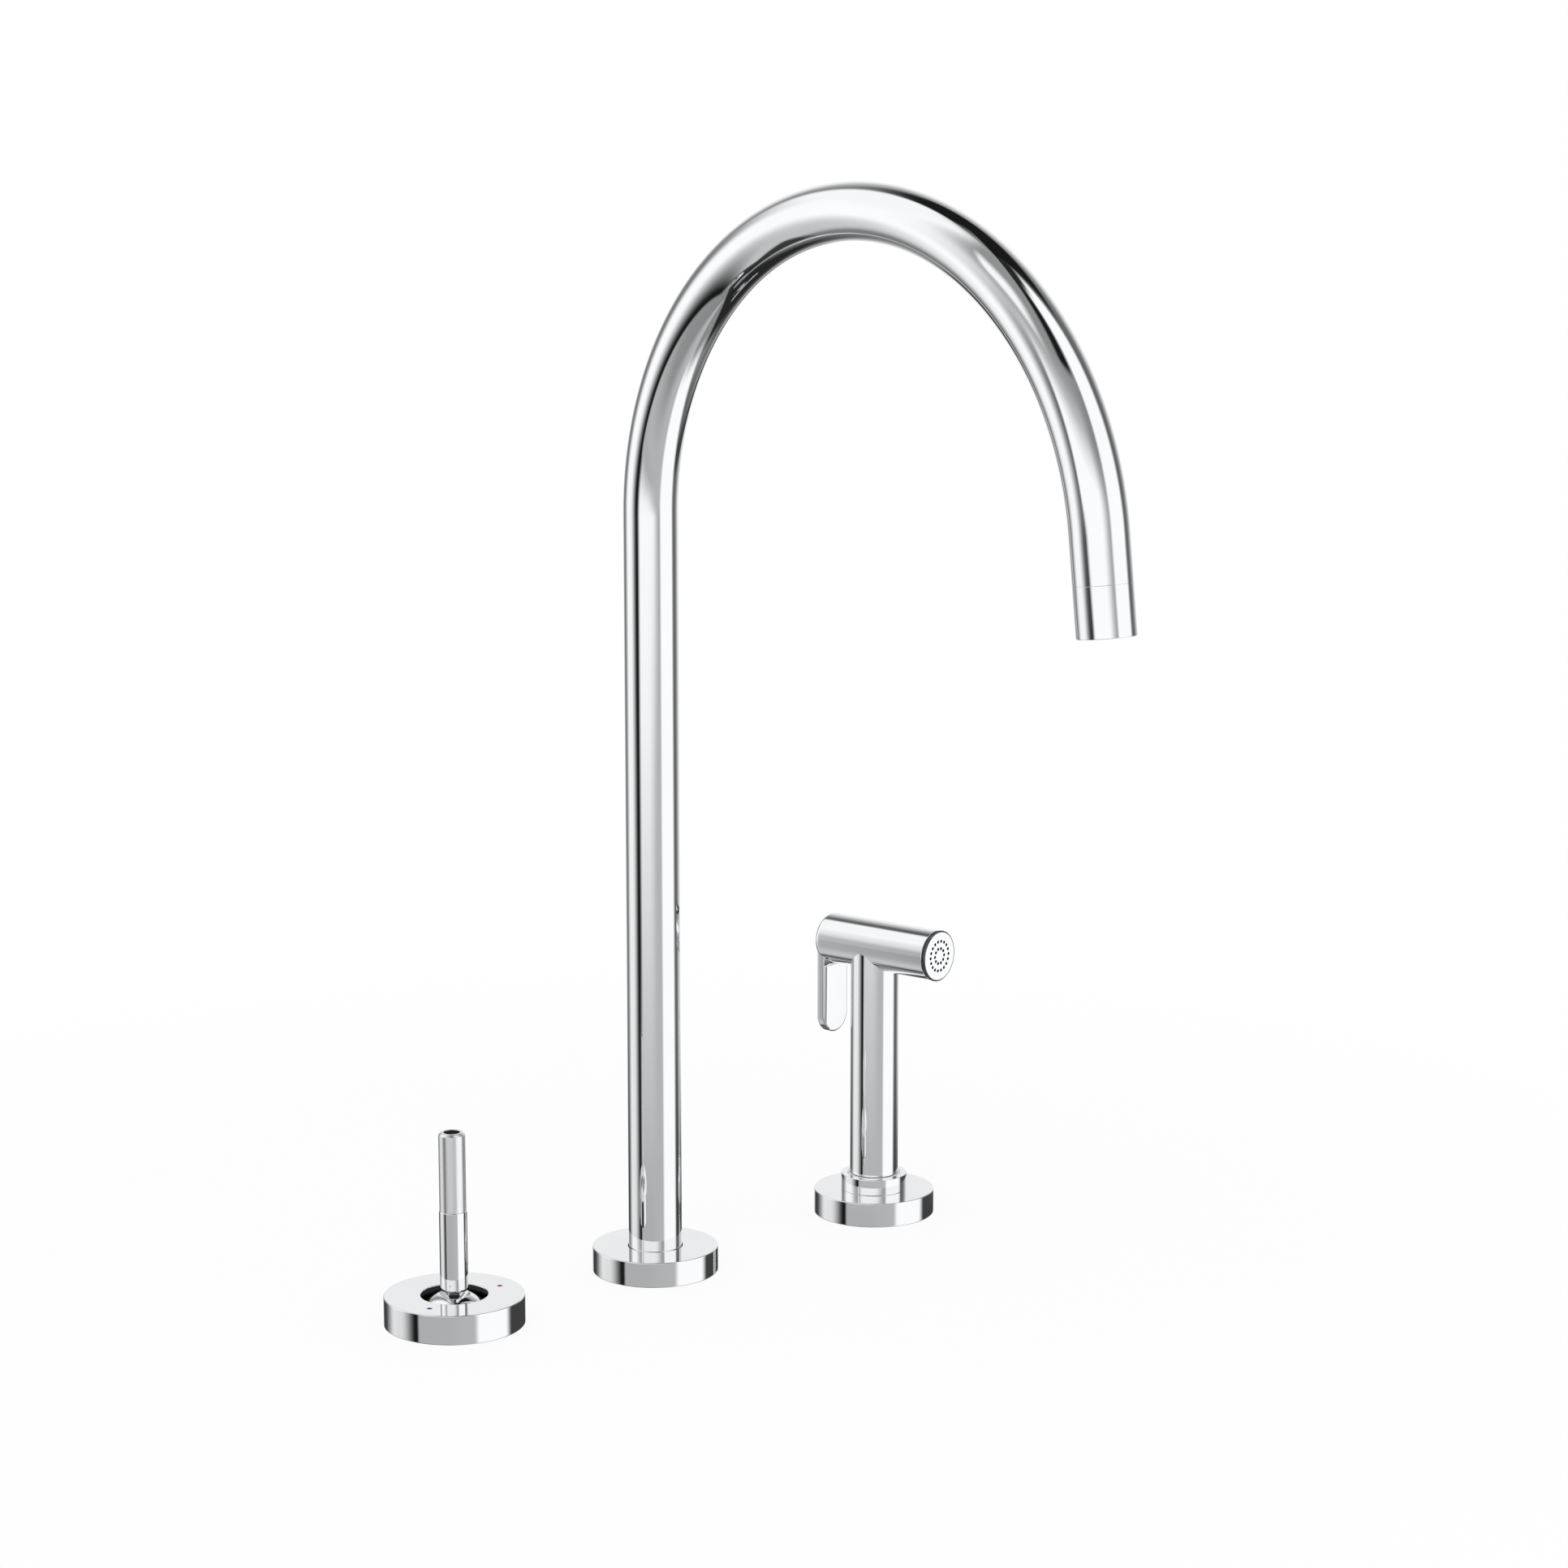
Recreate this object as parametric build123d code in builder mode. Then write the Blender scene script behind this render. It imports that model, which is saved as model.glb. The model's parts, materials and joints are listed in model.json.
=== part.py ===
from build123d import *
from math import cos, radians, sin, sqrt
import os

# Kitchen faucet in three units that stand side by side on a worktop: a joystick mixer valve,
# a swivelling gooseneck spout and a lift-out side spray. Millimetres, +Z up. The origin is the
# spout's axis at the top of the worktop; the valve is at -X, the spray at +X, the user at -Y.

os.makedirs("parts", exist_ok=True)

# ---- Layout on the worktop ---------------------------------------------------------------
valve_x = -104.9
spray_x = 125.1
valve_yaw = 6.5
handset_yaw = 9.5
deck_t = 20.0

# ---- Fits --------------------------------------------------------------------------------
run_gap = 0.05
slide_gap = 0.1
free_gap = 0.3
push_gap = 0.02

# ---- Escutcheon flanges ------------------------------------------------------------------
flange_r = 26.2
flange_h = 10.6
flange_wall = 3.0
flange_plate = 3.6
edge_break = 0.4
gasket_t = 1.5
gasket_w = 6.0

# ---- Spout tube --------------------------------------------------------------------------
tube_r = 11.1
tube_wall = 1.2
spout_rise = 317.0
bend_r = 124.8
bend_sweep = 173.2
outlet_run = 36.8

# ---- Aerator -----------------------------------------------------------------------------
aerator_h = 19.0
end_bush_in = 14.0
end_bush_out = 7.5
end_bush_bore_r = 7.5
aerator_washer_t = 1.5
aerator_washer_bore_r = 6.5
outlet_lip_t = 1.0
outlet_lip_r = 9.0
seam_break = 0.15
insert_wall = 1.3
insert_plate_t = 1.4
stream_hole_r = 1.0
stream_pitch = 3.0
first_ring_streams = 6
second_ring_streams = 12

# ---- Threaded shanks under the spout and the valve ---------------------------------------
shank_r = 16.6
shank_len = 62.0
clamp_r = 25.0
rubber_washer_t = 3.0
steel_washer_t = 1.5
nut_h = 10.0
hex_sides = 6
nut_set_in = 1.0
groove_below_nut = 1.0
stop_groove_w = 1.0
stop_groove_depth = 0.5

# ---- Swivel bearing of the spout ---------------------------------------------------------
socket_r = 13.2
socket_floor = -12.0
thrust_t = 1.4
collar_t = 3.0
swivel_nut_r = 14.8
swivel_nut_h = 11.0
spanner_slot_w = 3.0
spanner_slot_h = 2.0
plug_h = 14.0
journal_r = 9.5
journal_len = 23.5
journal_floor_gap = 0.5
spigot_bore_r = 6.0
groove_w = 2.4
groove_depth = 1.7
seal_r = 0.8
seal_spacing = 12.0
water_r = 7.0

# ---- Diverter under the spout ------------------------------------------------------------
nipple_thread_r = 10.0
nipple_in = 12.0
nipple_hex_t = 3.0
nipple_hex_r = 16.0
nipple_low_r = 9.0
nipple_low_len = 6.0
seat_bore_r = 4.0
diverter_r = 15.0
diverter_len = 31.0
chamber_r = 6.5
chamber_len = 19.0
pipe_thread_r = 10.48
pipe_thread_len = 12.0
port_bore_r = 5.0
spray_port_z = -81.5
spray_port_reach = 30.0
spray_boss_r = 11.5
spray_boss_reach = 17.0
flow_groove_r = 7.6
flow_groove_h = 7.0
skirt_h = 10.0
cup_bore_r = 4.4
cup_roof = 1.2
cross_hole_r = 1.5
piston_neck_r = 2.5
diverter_travel = 4.0
seat_disc_r = 5.0
seat_disc_t = 2.0
diverter_coil_r = 5.7
diverter_wire_r = 0.35
diverter_turns = 5

# ---- Mixer valve -------------------------------------------------------------------------
valve_flange_r = 28.35
valve_flange_h = 12.0
valve_flange_plate = 2.5
valve_opening_r = 13.5
marker_r = 1.0
marker_t = 0.4
marker_reach = 20.3
marker_angle = 72.3
valve_head_top = 4.5
dome_well_r = 16.2
dome_well_floor = 2.0
cartridge_r = 14.0
cartridge_floor = -34.0
cartridge_top = -7.0
cartridge_neck_r = 10.3
cartridge_neck_top = 3.0
cartridge_nut_r = 15.0
cartridge_nut_h = 5.0
thread_runout = 0.5
rotor_r = 8.4
rotor_floor = -14.3
rotor_flange_r = 9.6
rotor_flange_t = 0.8
disc_well_r = 12.4
disc_t = 4.0
disc_floor = -27.0
moving_disc_r = 8.6
carrier_top = -14.6
carrier_pocket_r = 3.2
carrier_pocket_floor = -18.3
mixing_pocket_r = 3.5
mixing_pocket_t = 1.5
port_r = 1.6
port_circle_r = 5.6
port_seal_r = 0.4
port_seal_ring_r = 2.1
hose_port_r = 4.5
hose_port_len = 14.0
outlet_port_len = 12.0
hose_port_circle_r = 10.4
inlet_angle = 45.0
key_x = 5.6
key_w = 2.0
key_h = 2.0
key_len = 8.0
slot_front = 5.9
slot_back = 6.8
tilt_pin_r = 1.25
spindle_r = 2.5
spindle_neck_r = 1.8
spindle_neck_z = -11.5
ball_r = 2.9
ball_drop = 11.0
spindle_shoulder_r = 3.4
spindle_shoulder_z = 6.2
stud_r = 1.6
stud_len = 15.0

# ---- Joystick above the valve ------------------------------------------------------------
pivot_z = -4.0
dome_r = 17.27
dome_wall = 1.2
dome_half_angle = 52.0
dimple_rim_r = 6.5
dimple_floor_r = 3.4
dimple_floor_z = 9.0
dimple_floor_t = 1.4
stick_r = 5.6
stick_tip_r = 2.2
stick_tip_z = 10.7
stick_seam_z = 46.7
stick_top_z = 79.0
grip_r = 5.35
grip_chamfer = 1.0
grip_core_r = 4.3
grip_core_top = 72.0
grip_step_t = 1.2
grip_step_r = 2.6
key_hole_r = 3.3
screw_head_r = 3.1
screw_head_h = 3.0
screw_len = 8.0
hex_key_r = 1.9
hex_key_depth = 2.0

# ---- Side spray holder -------------------------------------------------------------------
holder_shank_r = 13.2
holder_end = -45.0
holder_collar_r = 14.35
holder_collar_h = 7.0
holder_bore_r = 11.4
bush_bore_r = 9.5
bush_floor = -10.0

# ---- Side spray handset ------------------------------------------------------------------
rest_gap = 0.2
stem_r = 10.5
stem_wall = 1.4
head_z = 119.7
head_r = 10.75
head_wall = 1.4
head_front = 32.9
head_back = 20.9
spigot_r = 9.3
spigot_end = -8.0
inlet_grip = 14.0
inlet_bore_r = 5.0
hose_thread_r = 7.5
hose_thread_len = 12.0
connector_r = 9.2
connector_cup_floor = -30.0
connector_neck_z = -46.0
barb_r = 4.5
barb_end = -64.0
hose_bore_r = 3.2
barb_ridge = 0.5
barb_pitch = 4.0

# ---- Spray face and its valve, distances counted forward from the stem's axis ------------
nozzle_back = 14.0
nozzle_bore_r = 7.5
face_gap = 0.9
neck_r = 9.8
face_t = 1.1
face_r = 11.0
face_hub_len = 4.0
face_rim = 0.3
outer_ring_r = 6.4
outer_ring_holes = 18
inner_ring_r = 3.25
inner_ring_holes = 10
spray_hole_r = 0.5
seat_back = 10.8
seat_opening_r = 3.2
poppet_r = 5.5
poppet_t = 1.6
poppet_seal_t = 1.15
rod_r = 1.5
knob_r = 2.4
knob_t = 1.5
knob_back = -20.9
plug_front = -10.0
plug_t = 3.5
rod_coil_r = 4.2
rod_wire_r = 0.4
rod_turns = 7
rod_spring_play = 0.92

# ---- Lever at the back of the handset ----------------------------------------------------
lever_gap = 0.3
lever_t = 4.2
lever_w = 16.8
lever_reach = 42.0
lever_rim = 2.4
lever_edge = 0.8
relief_top = -7.0
relief_low = -11.8
relief_t = 0.7
lever_pin_r = 1.0
lever_pin_len = 12.2
lever_pin_u = -16.9
lever_pin_z = -6.0
lug_w = 7.6
lug_r = 1.8
fork_back = -19.0
fork_front = -17.2
fork_top = 3.0
fork_slot_w = 3.4
fork_slot_floor = -2.2
knob_pocket_r = 3.2
knob_pocket_t = 1.0
ear_in = 4.1
ear_out = 6.2
ear_back = -18.5
ear_low = -8.4
ear_top = -3.4


# ---- Planes and axes of the three units --------------------------------------------------
def unit_plane(x, yaw):
    """Worktop plane of one unit, turned by yaw about its own upright axis."""
    right = (cos(radians(yaw)), sin(radians(yaw)), 0)
    return Plane(origin=(x, 0, 0), x_dir=right, z_dir=(0, 0, 1))


def upright_section(base):
    """Section through a unit's axis: local x is the radius, local y the height."""
    return Plane(origin=base.origin, x_dir=base.x_dir, z_dir=-base.y_dir)


spout_base_plane = unit_plane(0, 0)
valve_plane = unit_plane(valve_x, valve_yaw)
spray_plane = unit_plane(spray_x, handset_yaw)
spout_section = upright_section(spout_base_plane)
valve_section = upright_section(valve_plane)
spray_section = upright_section(spray_plane)
spout_axis = Axis((0, 0, 0), (0, 0, 1))
valve_axis = Axis((valve_x, 0, 0), (0, 0, 1))
spray_axis = Axis((spray_x, 0, 0), (0, 0, 1))

# The handset's head lies along "forward"; its sections have local x forward, local y up.
forward = -spray_plane.y_dir
head_centre = Vector(spray_x, 0, head_z)
head_section = Plane(origin=head_centre, x_dir=forward, z_dir=-spray_plane.x_dir)
head_plane = Plane(origin=head_centre, x_dir=spray_plane.x_dir, z_dir=forward)
head_axis = Axis(head_centre, forward)

# The outlet plane closes the swept tube; its section has local y out of the spout.
outlet_dir = Vector(0, -sin(radians(bend_sweep)), cos(radians(bend_sweep)))
bend_end = Vector(
    0,
    -bend_r + bend_r * cos(radians(bend_sweep)),
    spout_rise + bend_r * sin(radians(bend_sweep)),
)
tube_end = bend_end + outlet_dir * (outlet_run - aerator_h)
outlet_plane = Plane(origin=tube_end, x_dir=(1, 0, 0), z_dir=outlet_dir)
outlet_section = Plane(origin=tube_end, x_dir=(1, 0, 0), z_dir=Vector(1, 0, 0).cross(outlet_dir))
outlet_axis = Axis(tube_end, outlet_dir)


def outline(section, *corners):
    """Closed straight-sided profile on a section plane, ready to be revolved or extruded."""
    with BuildSketch(section) as profile:
        with BuildLine():
            Polyline(*corners, close=True)
        make_face()
    return profile.sketch


def ring_face(plane, outer_r, inner_r):
    """Flat ring on a plane, centred on the plane's origin."""
    with BuildSketch(plane) as ring:
        Circle(outer_r)
        Circle(inner_r, mode=Mode.SUBTRACT)
    return ring.sketch


def bead_face(section, radius, height, bead_r):
    """Round section of an O-ring at a radius and a height."""
    with BuildSketch(section) as bead:
        with Locations((radius, height)):
            Circle(bead_r)
    return bead.sketch


def finish(builder, label):
    """Name a finished piece and write its STEP file."""
    builder.part.label = label
    export_step(builder.part, f"parts/{label}.step")


# ==== Heights under the worktop ===========================================================
rubber_low = -deck_t - rubber_washer_t
steel_low = rubber_low - steel_washer_t
nut_low = steel_low - nut_h
nut_r = clamp_r - nut_set_in


def stop_groove(radius):
    """Corners, from below, of the shallow groove that marks the end of a ring nut's travel."""
    top = nut_low - groove_below_nut
    floor_r = radius - stop_groove_depth
    low = top - stop_groove_w
    return (radius, low), (floor_r, low), (floor_r, top), (radius, top)


# ==== Spout unit ==========================================================================

# Escutcheon: a turned cap with a hollow underside that hides the head of the base.
flange_recess_r = flange_r - flange_wall
spout_head_top = flange_h - flange_plate
with BuildPart() as spout_flange:
    revolve(
        outline(
            spout_section,
            (flange_recess_r, 0),
            (flange_r, 0),
            (flange_r, flange_h - edge_break),
            (flange_r - edge_break, flange_h),
            (tube_r + free_gap, flange_h),
            (tube_r + free_gap, spout_head_top),
            (flange_recess_r, spout_head_top),
        ),
        axis=spout_axis,
    )
finish(spout_flange, "spout_flange")

# Deck seal between the head of the base and the worktop.
spout_head_r = flange_recess_r - free_gap
with BuildPart() as spout_gasket:
    extrude(ring_face(spout_base_plane, spout_head_r, spout_head_r - gasket_w), amount=gasket_t)
finish(spout_gasket, "spout_gasket")

# Heights in the swivel bearing, stacked up from the floor of the socket.
collar_low = socket_floor + thrust_t + run_gap
collar_top = collar_low + collar_t
swivel_nut_low = collar_top + run_gap + thrust_t
journal_end = collar_low - journal_len
journal_floor = journal_end - journal_floor_gap
shank_end = -shank_len
nipple_top = shank_end + nipple_in

# Brass base: head on the worktop, bearing socket inside, threaded shank through the hole.
with BuildPart() as spout_base:
    revolve(
        outline(
            spout_section,
            (spout_head_r, gasket_t),
            (spout_head_r, spout_head_top),
            (swivel_nut_r + push_gap, spout_head_top),
            (swivel_nut_r + push_gap, swivel_nut_low),
            (socket_r, swivel_nut_low),
            (socket_r, socket_floor),
            (journal_r + run_gap, socket_floor),
            (journal_r + run_gap, journal_floor),
            (water_r, journal_floor),
            (water_r, nipple_top),
            (nipple_thread_r + push_gap, nipple_top),
            (nipple_thread_r + push_gap, shank_end),
            (shank_r, shank_end),
            *stop_groove(shank_r),
            (shank_r, gasket_t),
        ),
        axis=spout_axis,
    )
finish(spout_base, "spout_base")

# Two slippery washers, below and above the spigot's collar.
thrust_inner_r = tube_r + free_gap
thrust_outer_r = socket_r - slide_gap
with BuildPart() as thrust_washers:
    for washer_z in (socket_floor, collar_top + run_gap):
        extrude(
            ring_face(spout_base_plane.offset(washer_z), thrust_outer_r, thrust_inner_r),
            amount=thrust_t,
        )
finish(thrust_washers, "thrust_washers")

# Ring nut that holds the collar down, with four slots for a pin spanner.
with BuildPart() as swivel_nut:
    extrude(
        ring_face(spout_base_plane.offset(swivel_nut_low), swivel_nut_r, thrust_inner_r + slide_gap),
        amount=swivel_nut_h,
    )
    with BuildSketch(spout_base_plane.offset(swivel_nut_low + swivel_nut_h)):
        Rectangle(2 * swivel_nut_r, spanner_slot_w)
        Rectangle(spanner_slot_w, 2 * swivel_nut_r)
    extrude(amount=-spanner_slot_h, mode=Mode.SUBTRACT)
finish(swivel_nut, "swivel_nut")

# Gooseneck: a tube swept up, round the bend and down to the aerator.
tube_bore_r = tube_r - tube_wall
with BuildPart() as spout_tube:
    with BuildLine(Plane.YZ) as neck_path:
        riser = Line((0, collar_top), (0, spout_rise))
        bend = JernArc(start=riser @ 1, tangent=riser % 1, radius=bend_r, arc_size=bend_sweep)
        Line(bend @ 1, (bend @ 1) + (bend % 1) * (outlet_run - aerator_h))
    with BuildSketch(spout_base_plane.offset(collar_top)):
        Circle(tube_r)
        Circle(tube_bore_r, mode=Mode.SUBTRACT)
    sweep(path=neck_path.wires()[0])
finish(spout_tube, "spout_tube")

# Brass spigot brazed into the foot of the tube: plug, collar, and a journal with two grooves.
seal_heights = [collar_low - journal_len / 2 + side * seal_spacing / 2 for side in (-1, 1)]
groove_floor_r = journal_r - groove_depth
with BuildPart() as swivel_spigot:
    extrude(
        ring_face(spout_base_plane.offset(journal_end), journal_r, spigot_bore_r),
        amount=journal_len,
    )
    extrude(
        ring_face(spout_base_plane.offset(collar_low), socket_r - free_gap, spigot_bore_r),
        amount=collar_t,
    )
    extrude(
        ring_face(spout_base_plane.offset(collar_top), tube_bore_r - push_gap, spigot_bore_r),
        amount=plug_h,
    )
    for seal_z in seal_heights:
        extrude(
            ring_face(spout_base_plane.offset(seal_z - groove_w / 2), journal_r, groove_floor_r),
            amount=groove_w,
            mode=Mode.SUBTRACT,
        )
finish(swivel_spigot, "swivel_spigot")

# O-rings in the two grooves of the journal.
with BuildPart() as spigot_seals:
    for seal_z in seal_heights:
        revolve(
            bead_face(spout_section, groove_floor_r + push_gap + seal_r, seal_z, seal_r),
            axis=spout_axis,
        )
finish(spigot_seals, "spigot_seals")

# Threaded bush brazed into the outlet end of the tube; the aerator ring screws onto it.
with BuildPart() as outlet_bush:
    extrude(
        ring_face(outlet_plane.offset(-end_bush_in), tube_bore_r - push_gap, end_bush_bore_r),
        amount=end_bush_in + end_bush_out,
    )
finish(outlet_bush, "outlet_bush")

# Chromed aerator ring, flush with the tube, with a lip that holds the insert.
with BuildPart() as aerator_ring:
    revolve(
        outline(
            outlet_section,
            (tube_bore_r, 0),
            (tube_r - seam_break, 0),
            (tube_r, seam_break),
            (tube_r, aerator_h - edge_break),
            (tube_r - edge_break, aerator_h),
            (outlet_lip_r, aerator_h),
            (outlet_lip_r, aerator_h - outlet_lip_t),
            (tube_bore_r, aerator_h - outlet_lip_t),
        ),
        axis=outlet_axis,
    )
finish(aerator_ring, "aerator_ring")

# Rubber washer between the bush and the insert.
insert_r = tube_bore_r - push_gap
with BuildPart() as aerator_washer:
    extrude(
        ring_face(outlet_plane.offset(end_bush_out), insert_r, aerator_washer_bore_r),
        amount=aerator_washer_t,
    )
finish(aerator_washer, "aerator_washer")

# Aerator insert: a plastic cup whose outlet plate has rings of stream holes.
insert_top = end_bush_out + aerator_washer_t
insert_end = aerator_h - outlet_lip_t
with BuildPart() as aerator_insert:
    with BuildSketch(outlet_plane.offset(insert_top)):
        Circle(insert_r)
    extrude(amount=insert_end - insert_top)
    with BuildSketch(outlet_plane.offset(insert_top)):
        Circle(insert_r - insert_wall)
    extrude(amount=insert_end - insert_top - insert_plate_t, mode=Mode.SUBTRACT)
    with BuildSketch(outlet_plane.offset(insert_end)):
        Circle(stream_hole_r)
        with PolarLocations(stream_pitch, first_ring_streams):
            Circle(stream_hole_r)
        with PolarLocations(2 * stream_pitch, second_ring_streams):
            Circle(stream_hole_r)
    extrude(amount=-insert_plate_t, mode=Mode.SUBTRACT)
finish(aerator_insert, "aerator_insert")

# ==== Fixings under the worktop, alike for the spout and the valve =========================
clamp_places = (0, valve_x)

with BuildPart() as rubber_washers:
    for unit_x in clamp_places:
        plane = unit_plane(unit_x, 0).offset(rubber_low)
        extrude(ring_face(plane, clamp_r, shank_r + push_gap), amount=rubber_washer_t)
finish(rubber_washers, "rubber_washers")

with BuildPart() as steel_washers:
    for unit_x in clamp_places:
        plane = unit_plane(unit_x, 0).offset(steel_low)
        extrude(ring_face(plane, clamp_r, shank_r + push_gap), amount=steel_washer_t)
finish(steel_washers, "steel_washers")

with BuildPart() as shank_nuts:
    for unit_x in clamp_places:
        with BuildSketch(unit_plane(unit_x, 0).offset(nut_low)):
            RegularPolygon(nut_r, hex_sides)
            Circle(shank_r + push_gap, mode=Mode.SUBTRACT)
        extrude(amount=nut_h)
finish(shank_nuts, "shank_nuts")

# ==== Diverter on the end of the spout's shank =============================================
hex_low = shank_end - nipple_hex_t
seat_z = hex_low - nipple_low_len
chamber_floor = seat_z - chamber_len
diverter_end = hex_low - diverter_len

# Nipple: joins the shank to the diverter body; its lower face is the valve seat.
with BuildPart() as diverter_nipple:
    extrude(
        ring_face(spout_base_plane.offset(shank_end), nipple_thread_r, seat_bore_r),
        amount=nipple_in,
    )
    with BuildSketch(spout_base_plane.offset(hex_low)):
        RegularPolygon(nipple_hex_r, hex_sides)
        Circle(seat_bore_r, mode=Mode.SUBTRACT)
    extrude(amount=nipple_hex_t)
    extrude(
        ring_face(spout_base_plane.offset(seat_z), nipple_low_r, seat_bore_r),
        amount=nipple_low_len,
    )
finish(diverter_nipple, "diverter_nipple")

# Body: piston chamber, inlet below, and a threaded port at the side for the spray hose.
side_port = Plane(origin=(0, 0, spray_port_z), x_dir=(0, 1, 0), z_dir=(1, 0, 0))
with BuildPart() as diverter_body:
    with BuildSketch(spout_base_plane.offset(diverter_end)):
        Circle(diverter_r)
    extrude(amount=diverter_len)
    with BuildSketch(spout_base_plane.offset(diverter_end)):
        Circle(pipe_thread_r)
    extrude(amount=-pipe_thread_len)
    with BuildSketch(side_port):
        Circle(pipe_thread_r)
    extrude(amount=spray_port_reach)
    with BuildSketch(side_port):
        Circle(spray_boss_r)
    extrude(amount=spray_boss_reach)
    with BuildSketch(side_port):
        Circle(port_bore_r)
    extrude(amount=spray_port_reach, mode=Mode.SUBTRACT)
    with BuildSketch(spout_base_plane.offset(seat_z)):
        Circle(nipple_low_r + push_gap)
    extrude(amount=nipple_low_len, mode=Mode.SUBTRACT)
    with BuildSketch(spout_base_plane.offset(chamber_floor)):
        Circle(chamber_r)
    extrude(amount=chamber_len, mode=Mode.SUBTRACT)
    with BuildSketch(spout_base_plane.offset(spray_port_z - flow_groove_h / 2)):
        Circle(flow_groove_r)
    extrude(amount=flow_groove_h, mode=Mode.SUBTRACT)
    with BuildSketch(spout_base_plane.offset(diverter_end - pipe_thread_len)):
        Circle(port_bore_r)
    extrude(amount=chamber_floor - diverter_end + pipe_thread_len, mode=Mode.SUBTRACT)
finish(diverter_body, "diverter_body")

# Piston: a cup with four cross holes, and a neck that carries the rubber seat disc.
piston_low = chamber_floor + run_gap
skirt_top = piston_low + skirt_h
seat_disc_low = seat_z - diverter_travel - slide_gap - seat_disc_t
with BuildPart() as diverter_piston:
    with BuildSketch(spout_base_plane.offset(piston_low)):
        Circle(chamber_r - slide_gap)
    extrude(amount=skirt_h)
    with BuildSketch(spout_base_plane.offset(skirt_top)):
        Circle(piston_neck_r)
    extrude(amount=seat_disc_low - skirt_top)
    with BuildSketch(spout_base_plane.offset(piston_low)):
        Circle(cup_bore_r)
    extrude(amount=skirt_h - cup_roof, mode=Mode.SUBTRACT)
    for turn in (0, 90):
        cross = Plane(
            origin=(0, 0, skirt_top - cup_roof - 2 * cross_hole_r),
            x_dir=(0, 0, 1),
            z_dir=(cos(radians(turn)), sin(radians(turn)), 0),
        )
        with BuildSketch(cross):
            Circle(cross_hole_r)
        extrude(amount=chamber_r, both=True, mode=Mode.SUBTRACT)
finish(diverter_piston, "diverter_piston")

with BuildPart() as diverter_seal:
    with BuildSketch(spout_base_plane.offset(seat_disc_low)):
        Circle(seat_disc_r)
    extrude(amount=seat_disc_t)
finish(diverter_seal, "diverter_seal")


def coil(plane, coil_r, wire_r, length, turns):
    """Round-wire compression spring that winds along the plane's normal from its origin."""
    with BuildPart() as spring:
        with BuildLine() as winding:
            Helix(
                pitch=length / turns,
                height=length,
                radius=coil_r,
                center=plane.origin,
                direction=plane.z_dir,
            )
        with BuildSketch(Plane(origin=winding.line @ 0, z_dir=winding.line % 0)):
            Circle(wire_r)
        sweep(path=winding.line)
    return spring.part


# Weak spring that keeps the piston off its seat, wound between the piston and the nipple.
diverter_spring_len = seat_z - skirt_top - 2 * diverter_wire_r
with BuildPart() as diverter_spring:
    add(
        coil(
            spout_base_plane.offset(skirt_top + diverter_wire_r),
            diverter_coil_r,
            diverter_wire_r,
            diverter_spring_len,
            diverter_turns,
        )
    )
finish(diverter_spring, "diverter_spring")

# ==== Mixer valve ==========================================================================
valve_recess_r = valve_flange_r - flange_wall
valve_plate_low = valve_flange_h - valve_flange_plate
marker_places = [
    (marker_reach * cos(radians(angle)), marker_reach * sin(radians(angle)))
    for angle in (marker_angle - 90, -marker_angle - 90)
]

# Escutcheon with a round opening for the joystick and two shallow enamel pockets.
with BuildPart() as valve_flange:
    revolve(
        outline(
            valve_section,
            (valve_recess_r, 0),
            (valve_flange_r, 0),
            (valve_flange_r, valve_flange_h - edge_break),
            (valve_flange_r - edge_break, valve_flange_h),
            (valve_opening_r, valve_flange_h),
            (valve_opening_r, valve_plate_low),
            (valve_recess_r, valve_plate_low),
        ),
        axis=valve_axis,
    )
    with BuildSketch(valve_plane.offset(valve_flange_h)):
        with Locations(*marker_places):
            Circle(marker_r)
    extrude(amount=-marker_t, mode=Mode.SUBTRACT)
finish(valve_flange, "valve_flange")

# Enamel dots: hot on the right, cold on the left.
with BuildPart() as hot_marker:
    with BuildSketch(valve_plane.offset(valve_flange_h - marker_t)):
        with Locations(marker_places[0]):
            Circle(marker_r - push_gap)
    extrude(amount=marker_t)
finish(hot_marker, "hot_marker")

with BuildPart() as cold_marker:
    with BuildSketch(valve_plane.offset(valve_flange_h - marker_t)):
        with Locations(marker_places[1]):
            Circle(marker_r - push_gap)
    extrude(amount=marker_t)
finish(cold_marker, "cold_marker")

valve_head_r = valve_recess_r - free_gap
with BuildPart() as valve_gasket:
    extrude(ring_face(valve_plane, valve_head_r, valve_head_r - gasket_w), amount=gasket_t)
finish(valve_gasket, "valve_gasket")


def inlet_places(circle_r):
    """Places of the hot and the cold inlet, behind the valve's axis to the right and the left."""
    along = circle_r * sin(radians(inlet_angle))
    back = circle_r * cos(radians(inlet_angle))
    return [(along, back), (-along, back)]


# The mixed outlet is on the axis, between the two inlets.
cartridge_ports = [(0, 0)] + inlet_places(port_circle_r)

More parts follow.
